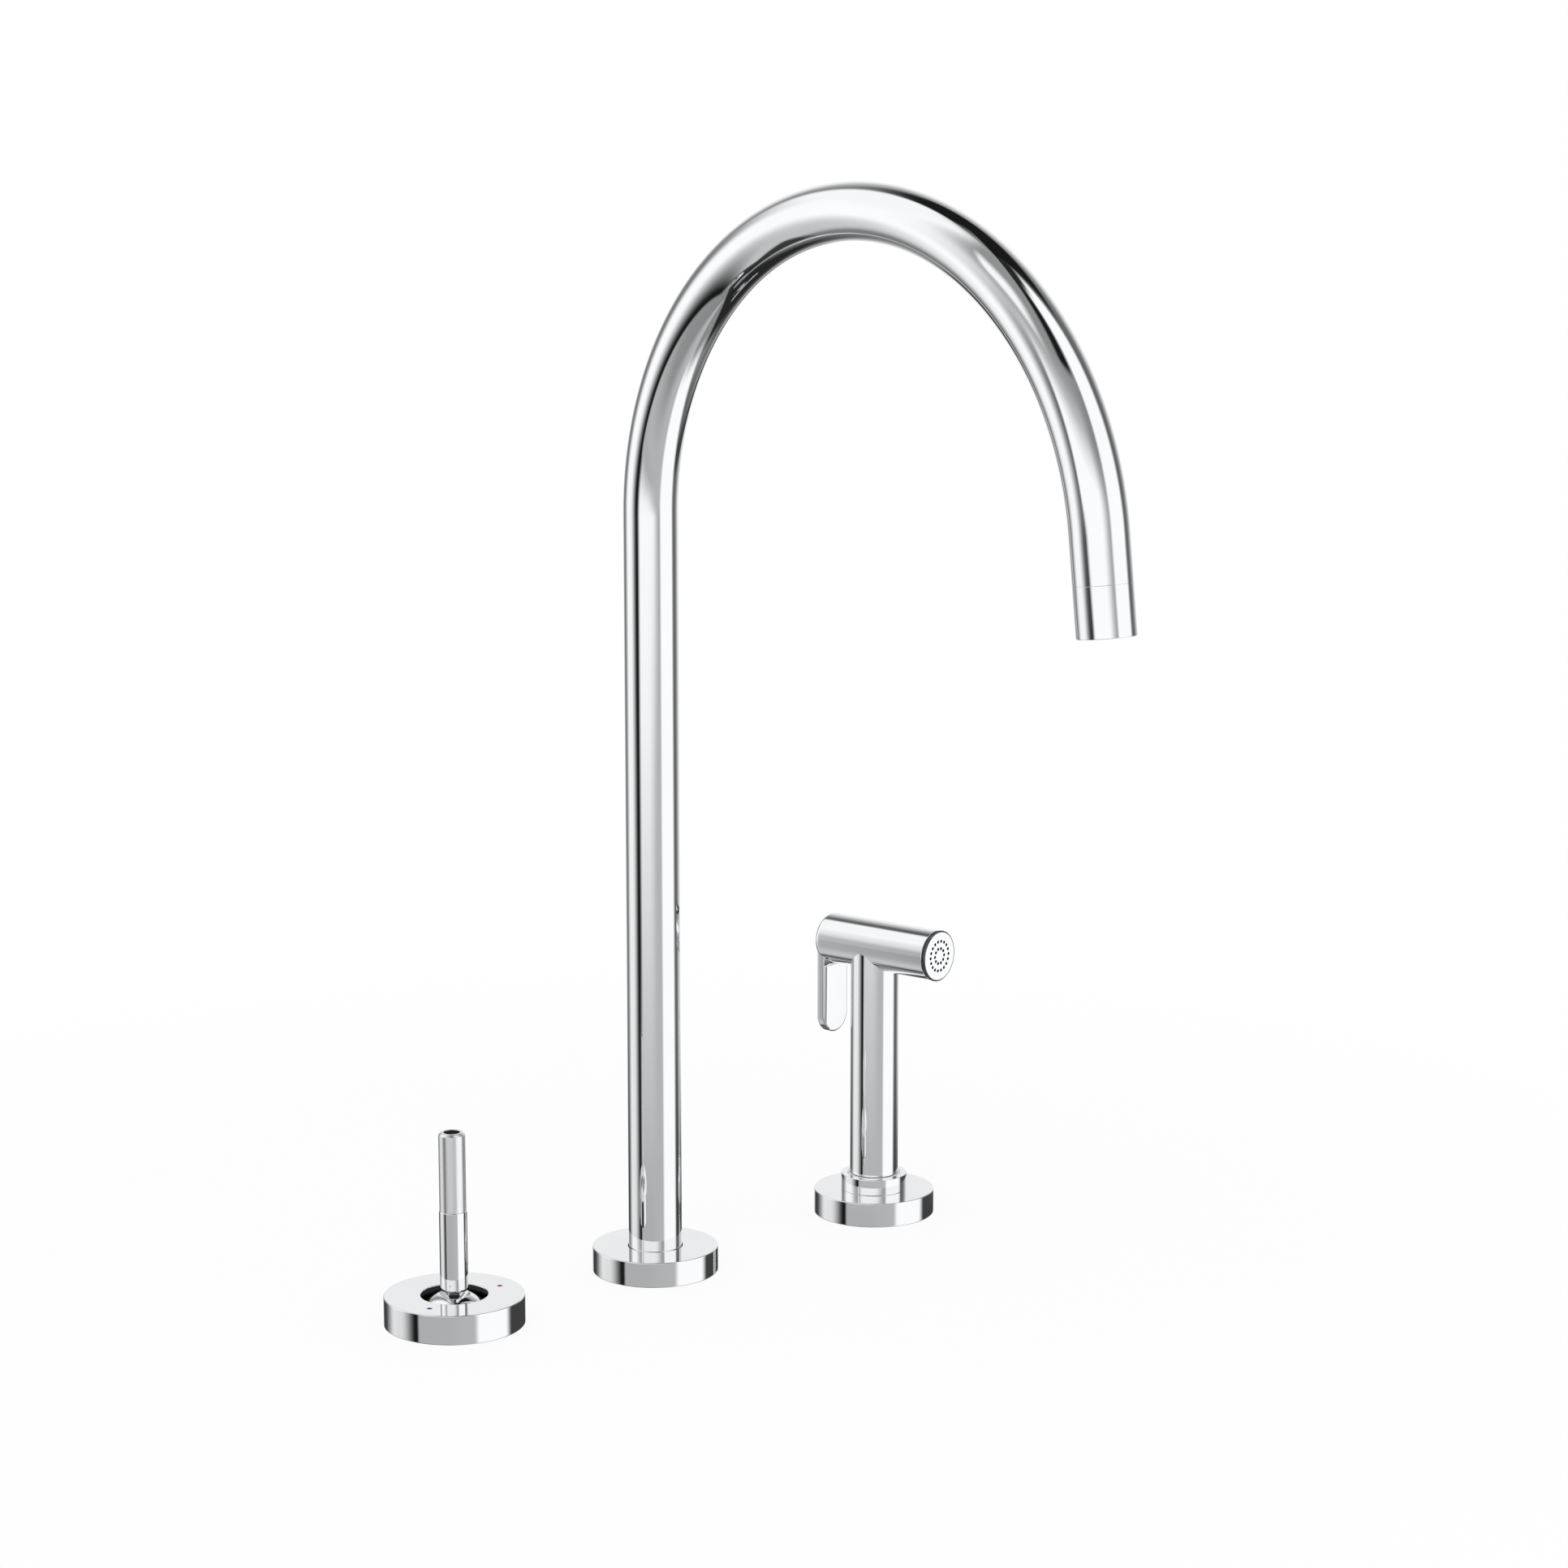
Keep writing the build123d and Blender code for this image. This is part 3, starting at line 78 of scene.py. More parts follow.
# ---- The studio: how a shader is written -----------------------------------------------------
# A finish is written as arithmetic on signals: each operator adds one Math node, and every
# other node comes from the signal's node method.
class Signal:
    """One socket of a node tree, which Python's operators turn into Math nodes."""

    def __init__(self, tree, socket=None):
        self.tree = tree
        self.socket = socket

    def node(self, kind, settings=None, inputs=None, output=0):
        """Add a node, set its settings and then its sockets, and give back one output, if any."""
        made = self.tree.nodes.new(kind)
        for name, value in (settings or {}).items():
            if name == "stops":
                self.set_stops(made.color_ramp, value)
            else:
                setattr(made, name, value)
        for key, value in (inputs or {}).items():
            if isinstance(value, Signal):
                self.tree.links.new(value.socket, made.inputs[key])
            else:
                made.inputs[key].default_value = value
        return Signal(self.tree, made.outputs[output] if made.outputs else None)

    def feed(self, shader, name):
        """Link this signal to one of a shader's sockets."""
        self.tree.links.new(self.socket, shader.inputs[name])

    def set_stops(self, ramp, stops):
        """Fill a ramp with (position, grey) stops."""
        while len(ramp.elements) < len(stops):
            ramp.elements.new(1.0)
        for element, (position, grey) in zip(ramp.elements, stops):
            element.position = position
            element.color = (grey, grey, grey, 1)

    def math(self, operation, first, second=0.0):
        """A Math node on two values or signals."""
        return self.node("ShaderNodeMath", {"operation": operation}, {0: first, 1: second})

    def dot(self, direction):
        """The part of this vector that lies along a fixed direction."""
        settings = {"operation": "DOT_PRODUCT"}
        return self.node("ShaderNodeVectorMath", settings, {0: self, 1: tuple(direction)}, 1)

    def reach(self, across):
        """The length of a step that goes this far one way and a second signal's far across it."""
        return self.math("SQRT", self * self + across * across)

    def smooth(self, low, high):
        """0 below low, 1 above high, and an eased step between them."""
        settings = {"interpolation_type": "SMOOTHSTEP"}
        return self.node("ShaderNodeMapRange", settings, {0: self, 1: low, 2: high})

    def blend(self, first, second):
        """Mix two colours or greys by this signal."""
        settings = {"data_type": "RGBA"}
        return self.node("ShaderNodeMix", settings, {0: self, 6: first, 7: second}, 2)

    def __add__(self, other):
        return self.math("ADD", self, other)

    def __sub__(self, other):
        return self.math("SUBTRACT", self, other)

    def __rsub__(self, other):
        return self.math("SUBTRACT", other, self)

    def __mul__(self, other):
        return self.math("MULTIPLY", self, other)

    def __truediv__(self, other):
        return self.math("DIVIDE", self, other)

    __radd__ = __add__
    __rmul__ = __mul__


# ---- The studio: what the polished metal reflects --------------------------------------------
# Cards and lit panels hang round the faucet, with soft edges. A place is an angle round the
# object, counted from the camera's side with right positive, and a height above the horizon.
# The walls before and behind the faucet are stops of a height in degrees and the grey there.
front_stops = (
    (-90, 0.24),
    (-45, 0.28),
    (-34, 0.38),
    (-24, 0.46),
    (-17, 0.42),
    (-14, 0.60),
    (-10, 0.92),
    (-6, 1.0),
    (14, 1.0),
    (20, 0.82),
    (28, 0.52),
    (38, 0.34),
    (48, 0.27),
    (90, 0.30),
)
behind_stops = (
    (-90, 0.02),
    (-45, 0.02),
    (-36, 0.12),
    (-26, 0.50),
    (-14, 0.84),
    (20, 0.84),
    (30, 0.56),
    (40, 0.36),
    (46, 0.10),
    (51, 0.01),
    (73, 0.01),
    (82, 0.20),
)
behind_starts = 122
behind_full = 142
panel_strength = 1.06
white = (1.0, 1.0, 1.0, 1.0)
# Each card: its grey, then its left, right, lower and upper edge, each edge as the angle where
# the card ends and the angle where it is full. A later card hides an earlier one.
cards = (
    (0.20, (-172, -142), (-94, -98), (-75, -60), (62, 44)),  # gap beside the left panel
    (0.01, (-108, -100), (-53, -59), (-76, -66), (4, -6)),  # black card at the left
    (0.01, (-90, -80), (-42, -57), (-17, -13), (2, -5)),  # its wider part at eye level
    (0.15, (-108, -100), (-54, -62), (-8, -1), (34, 8)),  # its weaker top
    (0.54, (-130, -110), (-62, -94), (-71, -66), (-1, -40)),  # left panel, lower half
    (1.00, (-134, -108), (-62, -94), (-42, -3), (88, 64)),  # left panel, upper half
    (0.95, (-150, -134), (-80, -100), (12, 34), (88, 64)),  # its wider top
    (0.05, (-166, -154), (-128, -142), (-26, -21), (-13, -17)),  # dark foot beside it
    (0.13, (66, 76), (164, 118), (-54, -34), (78, 60)),  # dark gap at the right
    (0.05, (98, 108), (200, 165), (-26, -21), (-14, -17)),  # its dark foot
    (0.01, (108, 120), (181, 180), (43, 50), (91, 90)),  # its black top
    (0.02, (108, 120), (181, 180), (-91, -90), (-46, -54)),  # its black floor
    (0.36, (6, 40), (61, 60), (-91, -90), (54, 42)),  # grey wall beside the right panel
    (0.24, (-4, 36), (61, 60), (8, 32), (54, 42)),  # its darker top
    (0.46, (-16, 28), (61, 60), (-91, -90), (-6, -12)),  # its wider lower half
    (1.00, (36, 47), (111, 95), (-68, -50), (80, 70)),  # right panel
    (0.01, (-8, 8), (36, 29), (46, 51), (91, 90)),  # gap between the ceiling panels
    (0.02, (-10, 10), (130, 110), (73, 79), (91, 90)),  # dark zenith
    (0.95, (-69, -63), (-24, -46), (34, 44), (66, 50)),  # small ceiling panel
    (0.04, (-140, -132), (-100, -110), (-91, -90), (-49, -55)),  # dark floor at the left
    (0.03, (-150, -140), (-66, -76), (-91, -90), (-65, -72)),  # its wider bottom
)
half_turn = 180


def ramp_stops(walls):
    """Settings of a ramp that holds the greys of one side's walls, from straight down to up."""
    return {"stops": [(rise / half_turn + 0.5, grey) for rise, grey in walls]}


def studio_world():
    """The world: plain white to the camera and to matt surfaces, studio walls in reflections."""
    world = bpy.data.worlds.new("studio")
    world.use_nodes = True
    tree = world.node_tree
    tree.nodes.clear()
    start = Signal(tree)
    look = start.node("ShaderNodeTexCoord")
    side = look.dot(view_right)
    toward = look.dot((-sin(view_turn), -cos(view_turn), 0))
    up = look.dot((0, 0, 1))
    turn = start.math("ARCTAN2", side, toward) * (half_turn / pi)
    rise = start.math("ARCSINE", up) * (half_turn / pi)
    height = rise / half_turn + 0.5
    front = start.node("ShaderNodeValToRGB", ramp_stops(front_stops), {0: height})
    behind = start.node("ShaderNodeValToRGB", ramp_stops(behind_stops), {0: height})
    away = start.math("ABSOLUTE", turn)
    seen = away.smooth(behind_starts, behind_full).blend(front, behind)
    for grey, left, right, lower, upper in cards:
        width = turn.smooth(*left) * turn.smooth(*right)
        cover = width * rise.smooth(*lower) * rise.smooth(*upper)
        seen = cover.blend(seen, (grey, grey, grey, 1))
    glossy = start.node("ShaderNodeLightPath", output="Is Glossy Ray")
    reflected = start.node("ShaderNodeBackground", None, {0: seen, 1: panel_strength})
    plain = start.node("ShaderNodeBackground", None, {0: white, 1: 1.0})
    mixed = start.node("ShaderNodeMixShader", None, {0: glossy, 1: plain, 2: reflected})
    start.node("ShaderNodeOutputWorld", None, {0: mixed})
    return world


bpy.context.scene.world = studio_world()

# ---- The studio: worktop ---------------------------------------------------------------------
# A large pale board at the level of the flanges. It keeps a faint shadow of the faucet and is
# left out of mirror images, so that the metal shows the walls down to its foot.
board_half = 6.0
board_shade = 0.8
shadow_share = 0.12
shadow_near = 0.25
shadow_far = 0.7
board_drop = 0.0001
lamp_size = 1.6
lamp_power = 12
lamp_place = (-0.9, -1.1, 2.0)
lamp_aim = Vector((0, 0, 0.2))


def board_finish():
    """Nearly white to the camera, matt grey to everything else."""
    finish = bpy.data.materials.new("board")
    finish.use_nodes = True
    tree = finish.node_tree
    tree.nodes.clear()
    start = Signal(tree)
    place = start.node("ShaderNodeTexCoord", output="Object")
    reach = start.node("ShaderNodeVectorMath", {"operation": "LENGTH"}, {0: place}, 1)
    plain = 1 - shadow_share * (1 - reach.smooth(shadow_near, shadow_far))
    seen = start.node("ShaderNodeLightPath", output="Is Camera Ray") * plain
    grey = (board_shade, board_shade, board_shade, 1)
    matt = start.node("ShaderNodeBsdfDiffuse", None, {0: grey})
    glow = start.node("ShaderNodeEmission", None, {0: white, 1: 1.0})
    mixed = start.node("ShaderNodeMixShader", None, {0: seen, 1: matt, 2: glow})
    start.node("ShaderNodeOutputMaterial", None, {0: mixed})
    return finish


board_mesh = bmesh.new()
bmesh.ops.create_grid(board_mesh, x_segments=1, y_segments=1, size=board_half)
board_data = bpy.data.meshes.new("worktop")
board_mesh.to_mesh(board_data)
board_mesh.free()
board = bpy.data.objects.new("worktop", board_data)
board_data.materials.append(board_finish())
bpy.context.scene.collection.objects.link(board)
board.visible_glossy = False
board.location.z = -board_drop

lamp_data = bpy.data.lights.new("soft_lamp", "AREA")
lamp_data.size = lamp_size
lamp_data.energy = lamp_power
lamp = bpy.data.objects.new("soft_lamp", lamp_data)
lamp.location = lamp_place
lamp.rotation_euler = (lamp_aim - lamp.location).to_track_quat("-Z", "Y").to_euler()
lamp.visible_glossy = False
bpy.context.scene.collection.objects.link(lamp)

# ---- Finishes of the metal, rubber and plastic pieces ----------------------------------------
# Each slot of the record has one material: its colour, with fine wear, machining marks or moulded
# grain laid over it. The threaded shanks and two dark pieces get a finish of their own.
plate_dark = (0.88, 0.89, 0.90)
plate_light = (0.93, 0.94, 0.95)
plate_rough = 0.025
plate_wear = 0.02
brass_dark = (0.66, 0.48, 0.22)
brass_light = (0.80, 0.62, 0.32)
# Painted shade of the brass that stands in the dark well under a flange.
well_shade_paint = (0.02, 0.017, 0.014)
well_shade_edge = 0.001
thread_pitch = 0.0015
thread_depth = 0.0005
thread_top = -0.003
thread_full = -0.004


def start_finish(name, metallic=0.0):
    """A new material, a signal of its object coordinates and its shader node."""
    finish = bpy.data.materials.new(name)
    finish.use_nodes = True
    tree = finish.node_tree
    shader = next(n for n in tree.nodes if n.type == "BSDF_PRINCIPLED")
    shader.inputs["Metallic"].default_value = metallic
    return finish, Signal(tree).node("ShaderNodeTexCoord", output="Object"), shader


def noise(place, scale, detail=3.0, stretch=(1, 1, 1)):
    """Cloudy grey noise, with its size in patches per metre and a stretch along each axis."""
    settings = {"vector_type": "POINT"}
    spread = place.node("ShaderNodeMapping", settings, {0: place, 3: stretch})
    return place.node("ShaderNodeTexNoise", None, {0: spread, 2: scale, 3: detail})


def bump(shader, height, depth):
    """Feed a height signal to a shader's normal through a Bump node, depth in metres."""
    raised = height.node("ShaderNodeBump", None, {"Distance": depth, "Height": height})
    raised.feed(shader, "Normal")


def roughen(shader, wear, least, spread):
    """Feed a shader's roughness, which a wear signal from 0 to 1 raises from its least value."""
    (least + spread * wear).feed(shader, "Roughness")


def mottle(cloud, dark, light):
    """A colour that drifts between two tones."""
    return cloud.blend((*dark, 1), (*light, 1))


def polished_chrome():
    """Mirror plate with faint waves from the polishing wheel and hairline wipe marks."""
    finish, place, shader = start_finish("polished_chrome", metallic=1.0)
    cloud = noise(place, scale=30.0)
    wipe = noise(place, scale=90.0, detail=4.0, stretch=(6, 6, 1))
    mottle(cloud, plate_dark, plate_light).feed(shader, "Base Color")
    roughen(shader, wipe, plate_rough, plate_wear)
    bump(shader, cloud, depth=0.000004)
    return finish


def satin_chrome():
    """Brushed plate: lines along the stick and a soft sheen."""
    finish, place, shader = start_finish("satin_chrome", metallic=1.0)
    lines = noise(place, scale=2500.0, detail=2.0, stretch=(1, 1, 0.02))
    colour = mottle(lines, dark=(0.84, 0.85, 0.86), light=(0.92, 0.93, 0.94))
    colour.feed(shader, "Base Color")
    roughen(shader, lines, least=0.26, spread=0.06)
    bump(shader, lines, depth=0.00001)
    return finish


def machined(name, light, dark, rough):
    """Turned or drawn bare metal: fine tool lines round the axis and a slightly uneven tone."""
    finish, place, shader = start_finish(name, metallic=1.0)
    tone = noise(place, scale=120.0)
    lines = noise(place, scale=1500.0, detail=2.0, stretch=(0.05, 0.05, 1))
    mottle(tone, dark, light).feed(shader, "Base Color")
    roughen(shader, lines, rough, spread=0.15)
    bump(shader, lines, depth=0.00003)
    return finish


def moulded(name, light, dark, rough, grain=900.0):
    """Rubber, plastic or ceramic: a fine moulded grain and a slight change of tone."""
    finish, place, shader = start_finish(name)
    tone = noise(place, scale=150.0)
    fine = noise(place, scale=grain, detail=4.0)
    mottle(tone, dark, light).feed(shader, "Base Color")
    roughen(shader, fine, rough, spread=0.12)
    bump(shader, fine, depth=0.00004)
    return finish


def screw_thread(shader, height):
    """Bump rings round z, one per pitch, that read as a screw thread below the worktop's top."""
    rings = height.math("PINGPONG", height, thread_pitch / 2) * (2 / thread_pitch)
    bump(shader, height.smooth(thread_top, thread_full) * rings, thread_depth)


def threaded_brass(name, shaded_above):
    """Brass shank: threaded below the worktop's top, and painted dark with shade above a height.
    """
    finish, place, shader = start_finish(name, metallic=1.0)
    height = place.dot((0, 0, 1))
    bright = mottle(noise(place, scale=120.0), brass_dark, brass_light)
    # Painted shade: above this height the brass turns dark and rougher.
    well_shade_mask = height.smooth(shaded_above - well_shade_edge, shaded_above + well_shade_edge)
    well_shade_mask.blend(bright, (*well_shade_paint, 1)).feed(shader, "Base Color")
    roughen(shader, well_shade_mask, least=0.25, spread=0.35)
    screw_thread(shader, height)
    return finish


finishes = {
    "chrome": polished_chrome(),
    "satin": satin_chrome(),
    "brass": machined("turned_brass", brass_light, brass_dark, 0.22),
    "steel": machined("bright_steel", (0.68, 0.69, 0.70), (0.54, 0.55, 0.56), 0.26),
    "rubber": moulded("black_rubber", (0.035, 0.035, 0.038), (0.018, 0.018, 0.02), 0.62),
    "plastic": moulded("grey_plastic", (0.10, 0.10, 0.11), (0.07, 0.07, 0.075), 0.42),
    "bearing": moulded("white_acetal", (0.84, 0.84, 0.82), (0.78, 0.78, 0.75), 0.35),
    "ceramic": moulded("lapped_ceramic", (0.86, 0.84, 0.78), (0.80, 0.78, 0.71), 0.12),
    "red": moulded("red_enamel", (0.26, 0.008, 0.025), (0.20, 0.006, 0.018), 0.12, 400.0),
    "blue": moulded("blue_enamel", (0.018, 0.024, 0.13), (0.012, 0.016, 0.10), 0.12, 400.0),
}
for part in frame["record"]["subparts"]:
    node = frame["nodes"][part["node"]]
    node.data.materials.clear()
    node.data.materials.append(finishes[part["material_slot"]])
    below_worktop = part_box(part["node"])[0][2] < 0
    node.visible_glossy = not below_worktop


def refinish(finish, *nodes):
    """Give CAD nodes a finish of their own."""
    for node in nodes:
        frame["nodes"][node].data.materials[0] = finish


# The valve body and cartridge nut get painted shade above the worktop, where they stand in the
# well under the flange.
refinish(threaded_brass("valve_brass_well_shade", shaded_above=0.0), "valve_body", "cartridge_nut")
refinish(threaded_brass("spout_brass", shaded_above=0.5), "spout_base")
refinish(moulded("dark_plastic", (0.07, 0.07, 0.072), (0.05, 0.05, 0.052), 0.5), "nozzle_body")
refinish(machined("black_oxide", (0.03, 0.03, 0.032), (0.02, 0.02, 0.022), 0.4), "grip_screw")

# ---- Flanges: the three round escutcheons ----------------------------------------------------
# Turned brass caps, chrome plated. They lie on the worktop and hide the heads of the fittings.
# The outline of half a section is spun round the unit's axis and its corners are rounded.
flange_wall = 0.003
edge_round = 0.0004
edge_steps = 4
turn_steps = 160
sharp_corner = radians(25)
crease = radians(40)
same_point = 1e-7
spin_seam = 1e-6


def put_in_scene(name, mesh, slot_name, body, *nodes):
    """Turn a bmesh into a finished piece that rides on a body and replaces CAD nodes."""
    bmesh.ops.remove_doubles(mesh, verts=mesh.verts, dist=same_point)
    bmesh.ops.recalc_face_normals(mesh, faces=mesh.faces)
    data = bpy.data.meshes.new(name)
    mesh.to_mesh(data)
    mesh.free()
    data.shade_smooth()
    piece = bpy.data.objects.new(name, data)
    bpy.context.scene.collection.objects.link(piece)
    data.materials.append(finishes[slot_name])
    data.set_sharp_from_angle(angle=crease)
    even = piece.modifiers.new("even_normals", "WEIGHTED_NORMAL")
    even.weight = 100
    even.keep_sharp = True
    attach(piece, body)
    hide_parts(*nodes)
    return piece


def turned(corners, rounding, place=Matrix(), steps=turn_steps):
    """Spin a closed outline of (radius, height) corners round the axis and round its corners."""
    mesh = bmesh.new()
    ring = [mesh.verts.new((radius, 0, height)) for radius, height in corners]
    edges = [mesh.edges.new(pair) for pair in zip(ring, ring[1:] + ring[:1])]
    bmesh.ops.spin(
        mesh, geom=edges, cent=(0, 0, 0), axis=(0, 0, 1), angle=2 * pi, steps=steps, use_merge=True
    )
    bmesh.ops.remove_doubles(mesh, verts=mesh.verts, dist=spin_seam)
    on_axis = [edge for edge in mesh.edges if not edge.link_faces]
    bmesh.ops.delete(mesh, geom=on_axis, context="EDGES")
    bmesh.ops.recalc_face_normals(mesh, faces=mesh.faces)
    round_off(mesh, rounding)
    bmesh.ops.transform(mesh, matrix=place, verts=mesh.verts)
    return mesh


def round_off(mesh, rounding, above=-inf):
    """Bevel every edge that is a real corner of the piece, if it lies above a height."""
    corners = [
        e
        for e in mesh.edges
        if e.is_manifold and e.calc_face_angle() > sharp_corner and e.verts[0].co.z > above
    ]
    if rounding:
        bmesh.ops.bevel(
            mesh,
            geom=corners,
            offset=rounding,
            offset_type="OFFSET",
            affect="EDGES",
            segments=edge_steps,
            profile=0.5,
            material=-1,
            clamp_overlap=True,
        )


def size_of(node):
    """Centre, radius and lowest and highest z of a round upright CAD node."""
    low, high = (Vector(corner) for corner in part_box(node))
    centre = (low + high) / 2
    return centre.x, centre.y, (high.x - low.x) / 2, low.z, high.z


def arc_points(radius, centre_z, first, last, steps):
    """Points of an arc round a point on the axis, by angle from straight up."""
    angles = [first + (last - first) * i / steps for i in range(steps + 1)]
    return [(radius * sin(a), centre_z + radius * cos(a)) for a in angles]


# Painted shade: a dark finish that stands in for the shade inside bores, hollows and dimples.
bore_shade_paint = moulded("painted_shade_inside", (0.03, 0.028, 0.026), (0.018, 0.017, 0.016), 0.6)


def paint_shade_inside(piece, axis_x, radius, top):
    """Paint shade on the faces inside a bore: those near a unit's axis and below its top get a
    dark finish.
    """
    piece.data.materials.append(bore_shade_paint)
    for face in piece.data.polygons:
        off_axis = Vector((face.center.x - axis_x, face.center.y)).length
        if off_axis < radius and face.center.z < top:
            face.material_index = 1


def escutcheon(name, node, radius, top, opening, recess, place=Matrix()):
    """A cap that is hollow from below up to its recess, with a round opening in its top."""
    outline = [
        (radius - flange_wall, 0),
        (radius, 0),
        (radius, top),
        (opening, top),
        (opening, recess),
        (radius - flange_wall, recess),
    ]
    return put_in_scene(name, turned(outline, edge_round, place), "chrome", "deck_fittings", node)


tube_r = 0.0111
tube_gap = 0.0003
flange_plate = 0.0036
_, _, flange_r, _, flange_top = size_of("spout_flange")
escutcheon(
    "spout_escutcheon",
    "spout_flange",
    radius=flange_r,
    top=flange_top,
    opening=tube_r + tube_gap,
    recess=flange_top - flange_plate,
)

valve_turn = radians(6.5)
valve_plate = 0.0025
opening_r = 0.0135
valve_x, _, valve_r, _, valve_top = size_of("valve_flange")
valve_place = Matrix.Translation((valve_x, 0, 0)) @ Matrix.Rotation(valve_turn, 4, "Z")
valve_escutcheon = escutcheon(
    "valve_escutcheon",
    "valve_flange",
    radius=valve_r,
    top=valve_top,
    opening=opening_r,
    recess=valve_top - valve_plate,
    place=valve_place,
)
# The opening's inner edge and the plate's underside get painted shade.
paint_shade_inside(valve_escutcheon, valve_x, opening_r + edge_round / 2, valve_top - edge_round / 2)
paint_shade_inside(valve_escutcheon, valve_x, valve_r - flange_wall / 2, valve_top - valve_plate / 2)

holder_r = 0.0132
seal_recess = 0.0015
spray_turn = radians(9.5)
spray_x, _, spray_r, _, spray_top = size_of("spray_flange")
spray_place = Matrix.Translation((spray_x, 0, 0)) @ Matrix.Rotation(spray_turn, 4, "Z")
escutcheon(
    "spray_escutcheon",
    "spray_flange",
    radius=spray_r,
    top=spray_top,
    opening=holder_r,
    recess=seal_recess,
    place=spray_place,
)

# ---- Hot and cold dots -----------------------------------------------------------------------
# Two drops of red and blue enamel, fired into shallow recesses of the valve's escutcheon. They
# stand a little proud of the plate.
dot_r = 0.00115
dot_rise = 0.00025
dot_depth = 0.0003
dot_steps = 6
dot_turn_steps = 48
dot_curve = (dot_r**2 + dot_rise**2) / (2 * dot_rise)


def enamel_dot(name, slot_name, node):
    """A low round drop over one recess."""
    dot_x, dot_y, *_ = size_of(node)
    drop = arc_points(dot_curve, dot_rise - dot_curve, 0, asin(dot_r / dot_curve), dot_steps)
    place = Matrix.Translation((dot_x, dot_y, valve_top))
    outline = [*drop, (dot_r, -dot_depth), (0, -dot_depth)]
    put_in_scene(name, turned(outline, 0, place, dot_turn_steps), slot_name, "deck_fittings", node)


enamel_dot("hot_dot", "red", "hot_marker")
enamel_dot("cold_dot", "blue", "cold_marker")

# ---- Gooseneck: the spout's tube -------------------------------------------------------------
# Drawn brass tube, bent on a mandrel and polished before plating. A circle is drawn up the
# riser, spun round the bend and drawn out to the seam of the aerator ring.
riser_top = 0.317
bend_r = 0.1248
bend_sweep = radians(173.2)
outlet_length = 0.0368
aerator_height = 0.019
outlet_run = outlet_length - aerator_height
round_steps = 128
bend_steps = 150

tube_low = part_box("spout_tube")[0][2]
outlet_way = Vector((0, -sin(bend_sweep), cos(bend_sweep)))
neck = bmesh.new()
bmesh.ops.create_circle(
    neck, radius=tube_r, segments=round_steps, matrix=Matrix.Translation((0, 0, tube_low))
)


def only(kind, pieces):
    """The vertices or the edges among a mesh's new pieces."""
    return [piece for piece in pieces if isinstance(piece, kind)]


def draw_out(mesh, rim, way):
    """Extrude a rim of edges along a way and give back the new rim."""
    drawn = bmesh.ops.extrude_edge_only(mesh, edges=rim)["geom"]
    bmesh.ops.translate(mesh, vec=way, verts=only(bmesh.types.BMVert, drawn))
    return only(bmesh.types.BMEdge, drawn)


foot_rim = list(neck.edges)
bend_rim = draw_out(neck, foot_rim, (0, 0, riser_top - tube_low))
bent = bmesh.ops.spin(
    neck,
    geom=bend_rim,
    cent=(0, -bend_r, riser_top),
    axis=(1, 0, 0),
    angle=bend_sweep,
    steps=bend_steps,
)["geom_last"]
seam_rim = draw_out(neck, only(bmesh.types.BMEdge, bent), outlet_way * outlet_run)
bmesh.ops.contextual_create(neck, geom=foot_rim)
bmesh.ops.contextual_create(neck, geom=seam_rim)
put_in_scene("gooseneck", neck, "chrome", "spout", "spout_tube")

# ---- Aerator ring ----------------------------------------------------------------------------
# A turned brass ring, chrome plated and flush with the tube. It screws up to a fine seam and
# holds the insert that mixes air into the water.
bend_end = Vector((0, bend_r * cos(bend_sweep) - bend_r, riser_top + bend_r * sin(bend_sweep)))
seam_at = bend_end + outlet_way * outlet_run
outlet_turn = outlet_way.to_track_quat("Z", "X").to_matrix().to_4x4()
outlet_place = Matrix.Translation(seam_at) @ outlet_turn
ring_wall = 0.0012
lip_r = 0.009
lip = 0.001
seam_round = 0.00018
put_in_scene(
    "aerator_collar",
    turned(
        [
            (tube_r - ring_wall, 0),
            (tube_r, 0),
            (tube_r, aerator_height),
            (lip_r, aerator_height),
            (lip_r, aerator_height - lip),
            (tube_r - ring_wall, aerator_height - lip),
        ],
        seam_round,
        outlet_place,
    ),
    "chrome",
    "spout",
    "aerator_ring",
)

# ---- Joystick: dome, stick and grip ----------------------------------------------------------
# The polished dome turns and tilts in the flange's opening. The stick stands on its pointed foot
# in the dome's dimple, and a satin sleeve with a chamfered top is its grip.
pivot_z = -0.004
dome_r = 0.01727
dome_wall = 0.0012
dome_half_angle = radians(52)
dome_steps = 14
dimple_r = 0.0065
dimple_floor_r = 0.0034
dimple_floor_z = 0.009
dimple_bore_r = 0.0005
dome_edge = 0.0002

dimple_angle = atan2(dimple_r, sqrt(dome_r**2 - dimple_r**2))
outer_arc = arc_points(dome_r, pivot_z, dimple_angle, dome_half_angle, dome_steps)
inner_arc = arc_points(dome_r - dome_wall, pivot_z, dome_half_angle, dimple_angle, dome_steps)
dimple_corners = [
    (dimple_floor_r, dimple_floor_z - dome_wall),
    (dimple_bore_r, dimple_floor_z - dome_wall),
    (dimple_bore_r, dimple_floor_z),
    (dimple_floor_r, dimple_floor_z),
]
joystick_dome = put_in_scene(
    "joystick_dome",
    turned([*outer_arc, *inner_arc, *dimple_corners], dome_edge, valve_place),
    "chrome",
    "joystick",
    "dome_cap",
)
# The dimple's floor round the stick's foot gets painted shade.
paint_shade_inside(joystick_dome, valve_x, dimple_floor_r, dimple_floor_z + dome_wall)

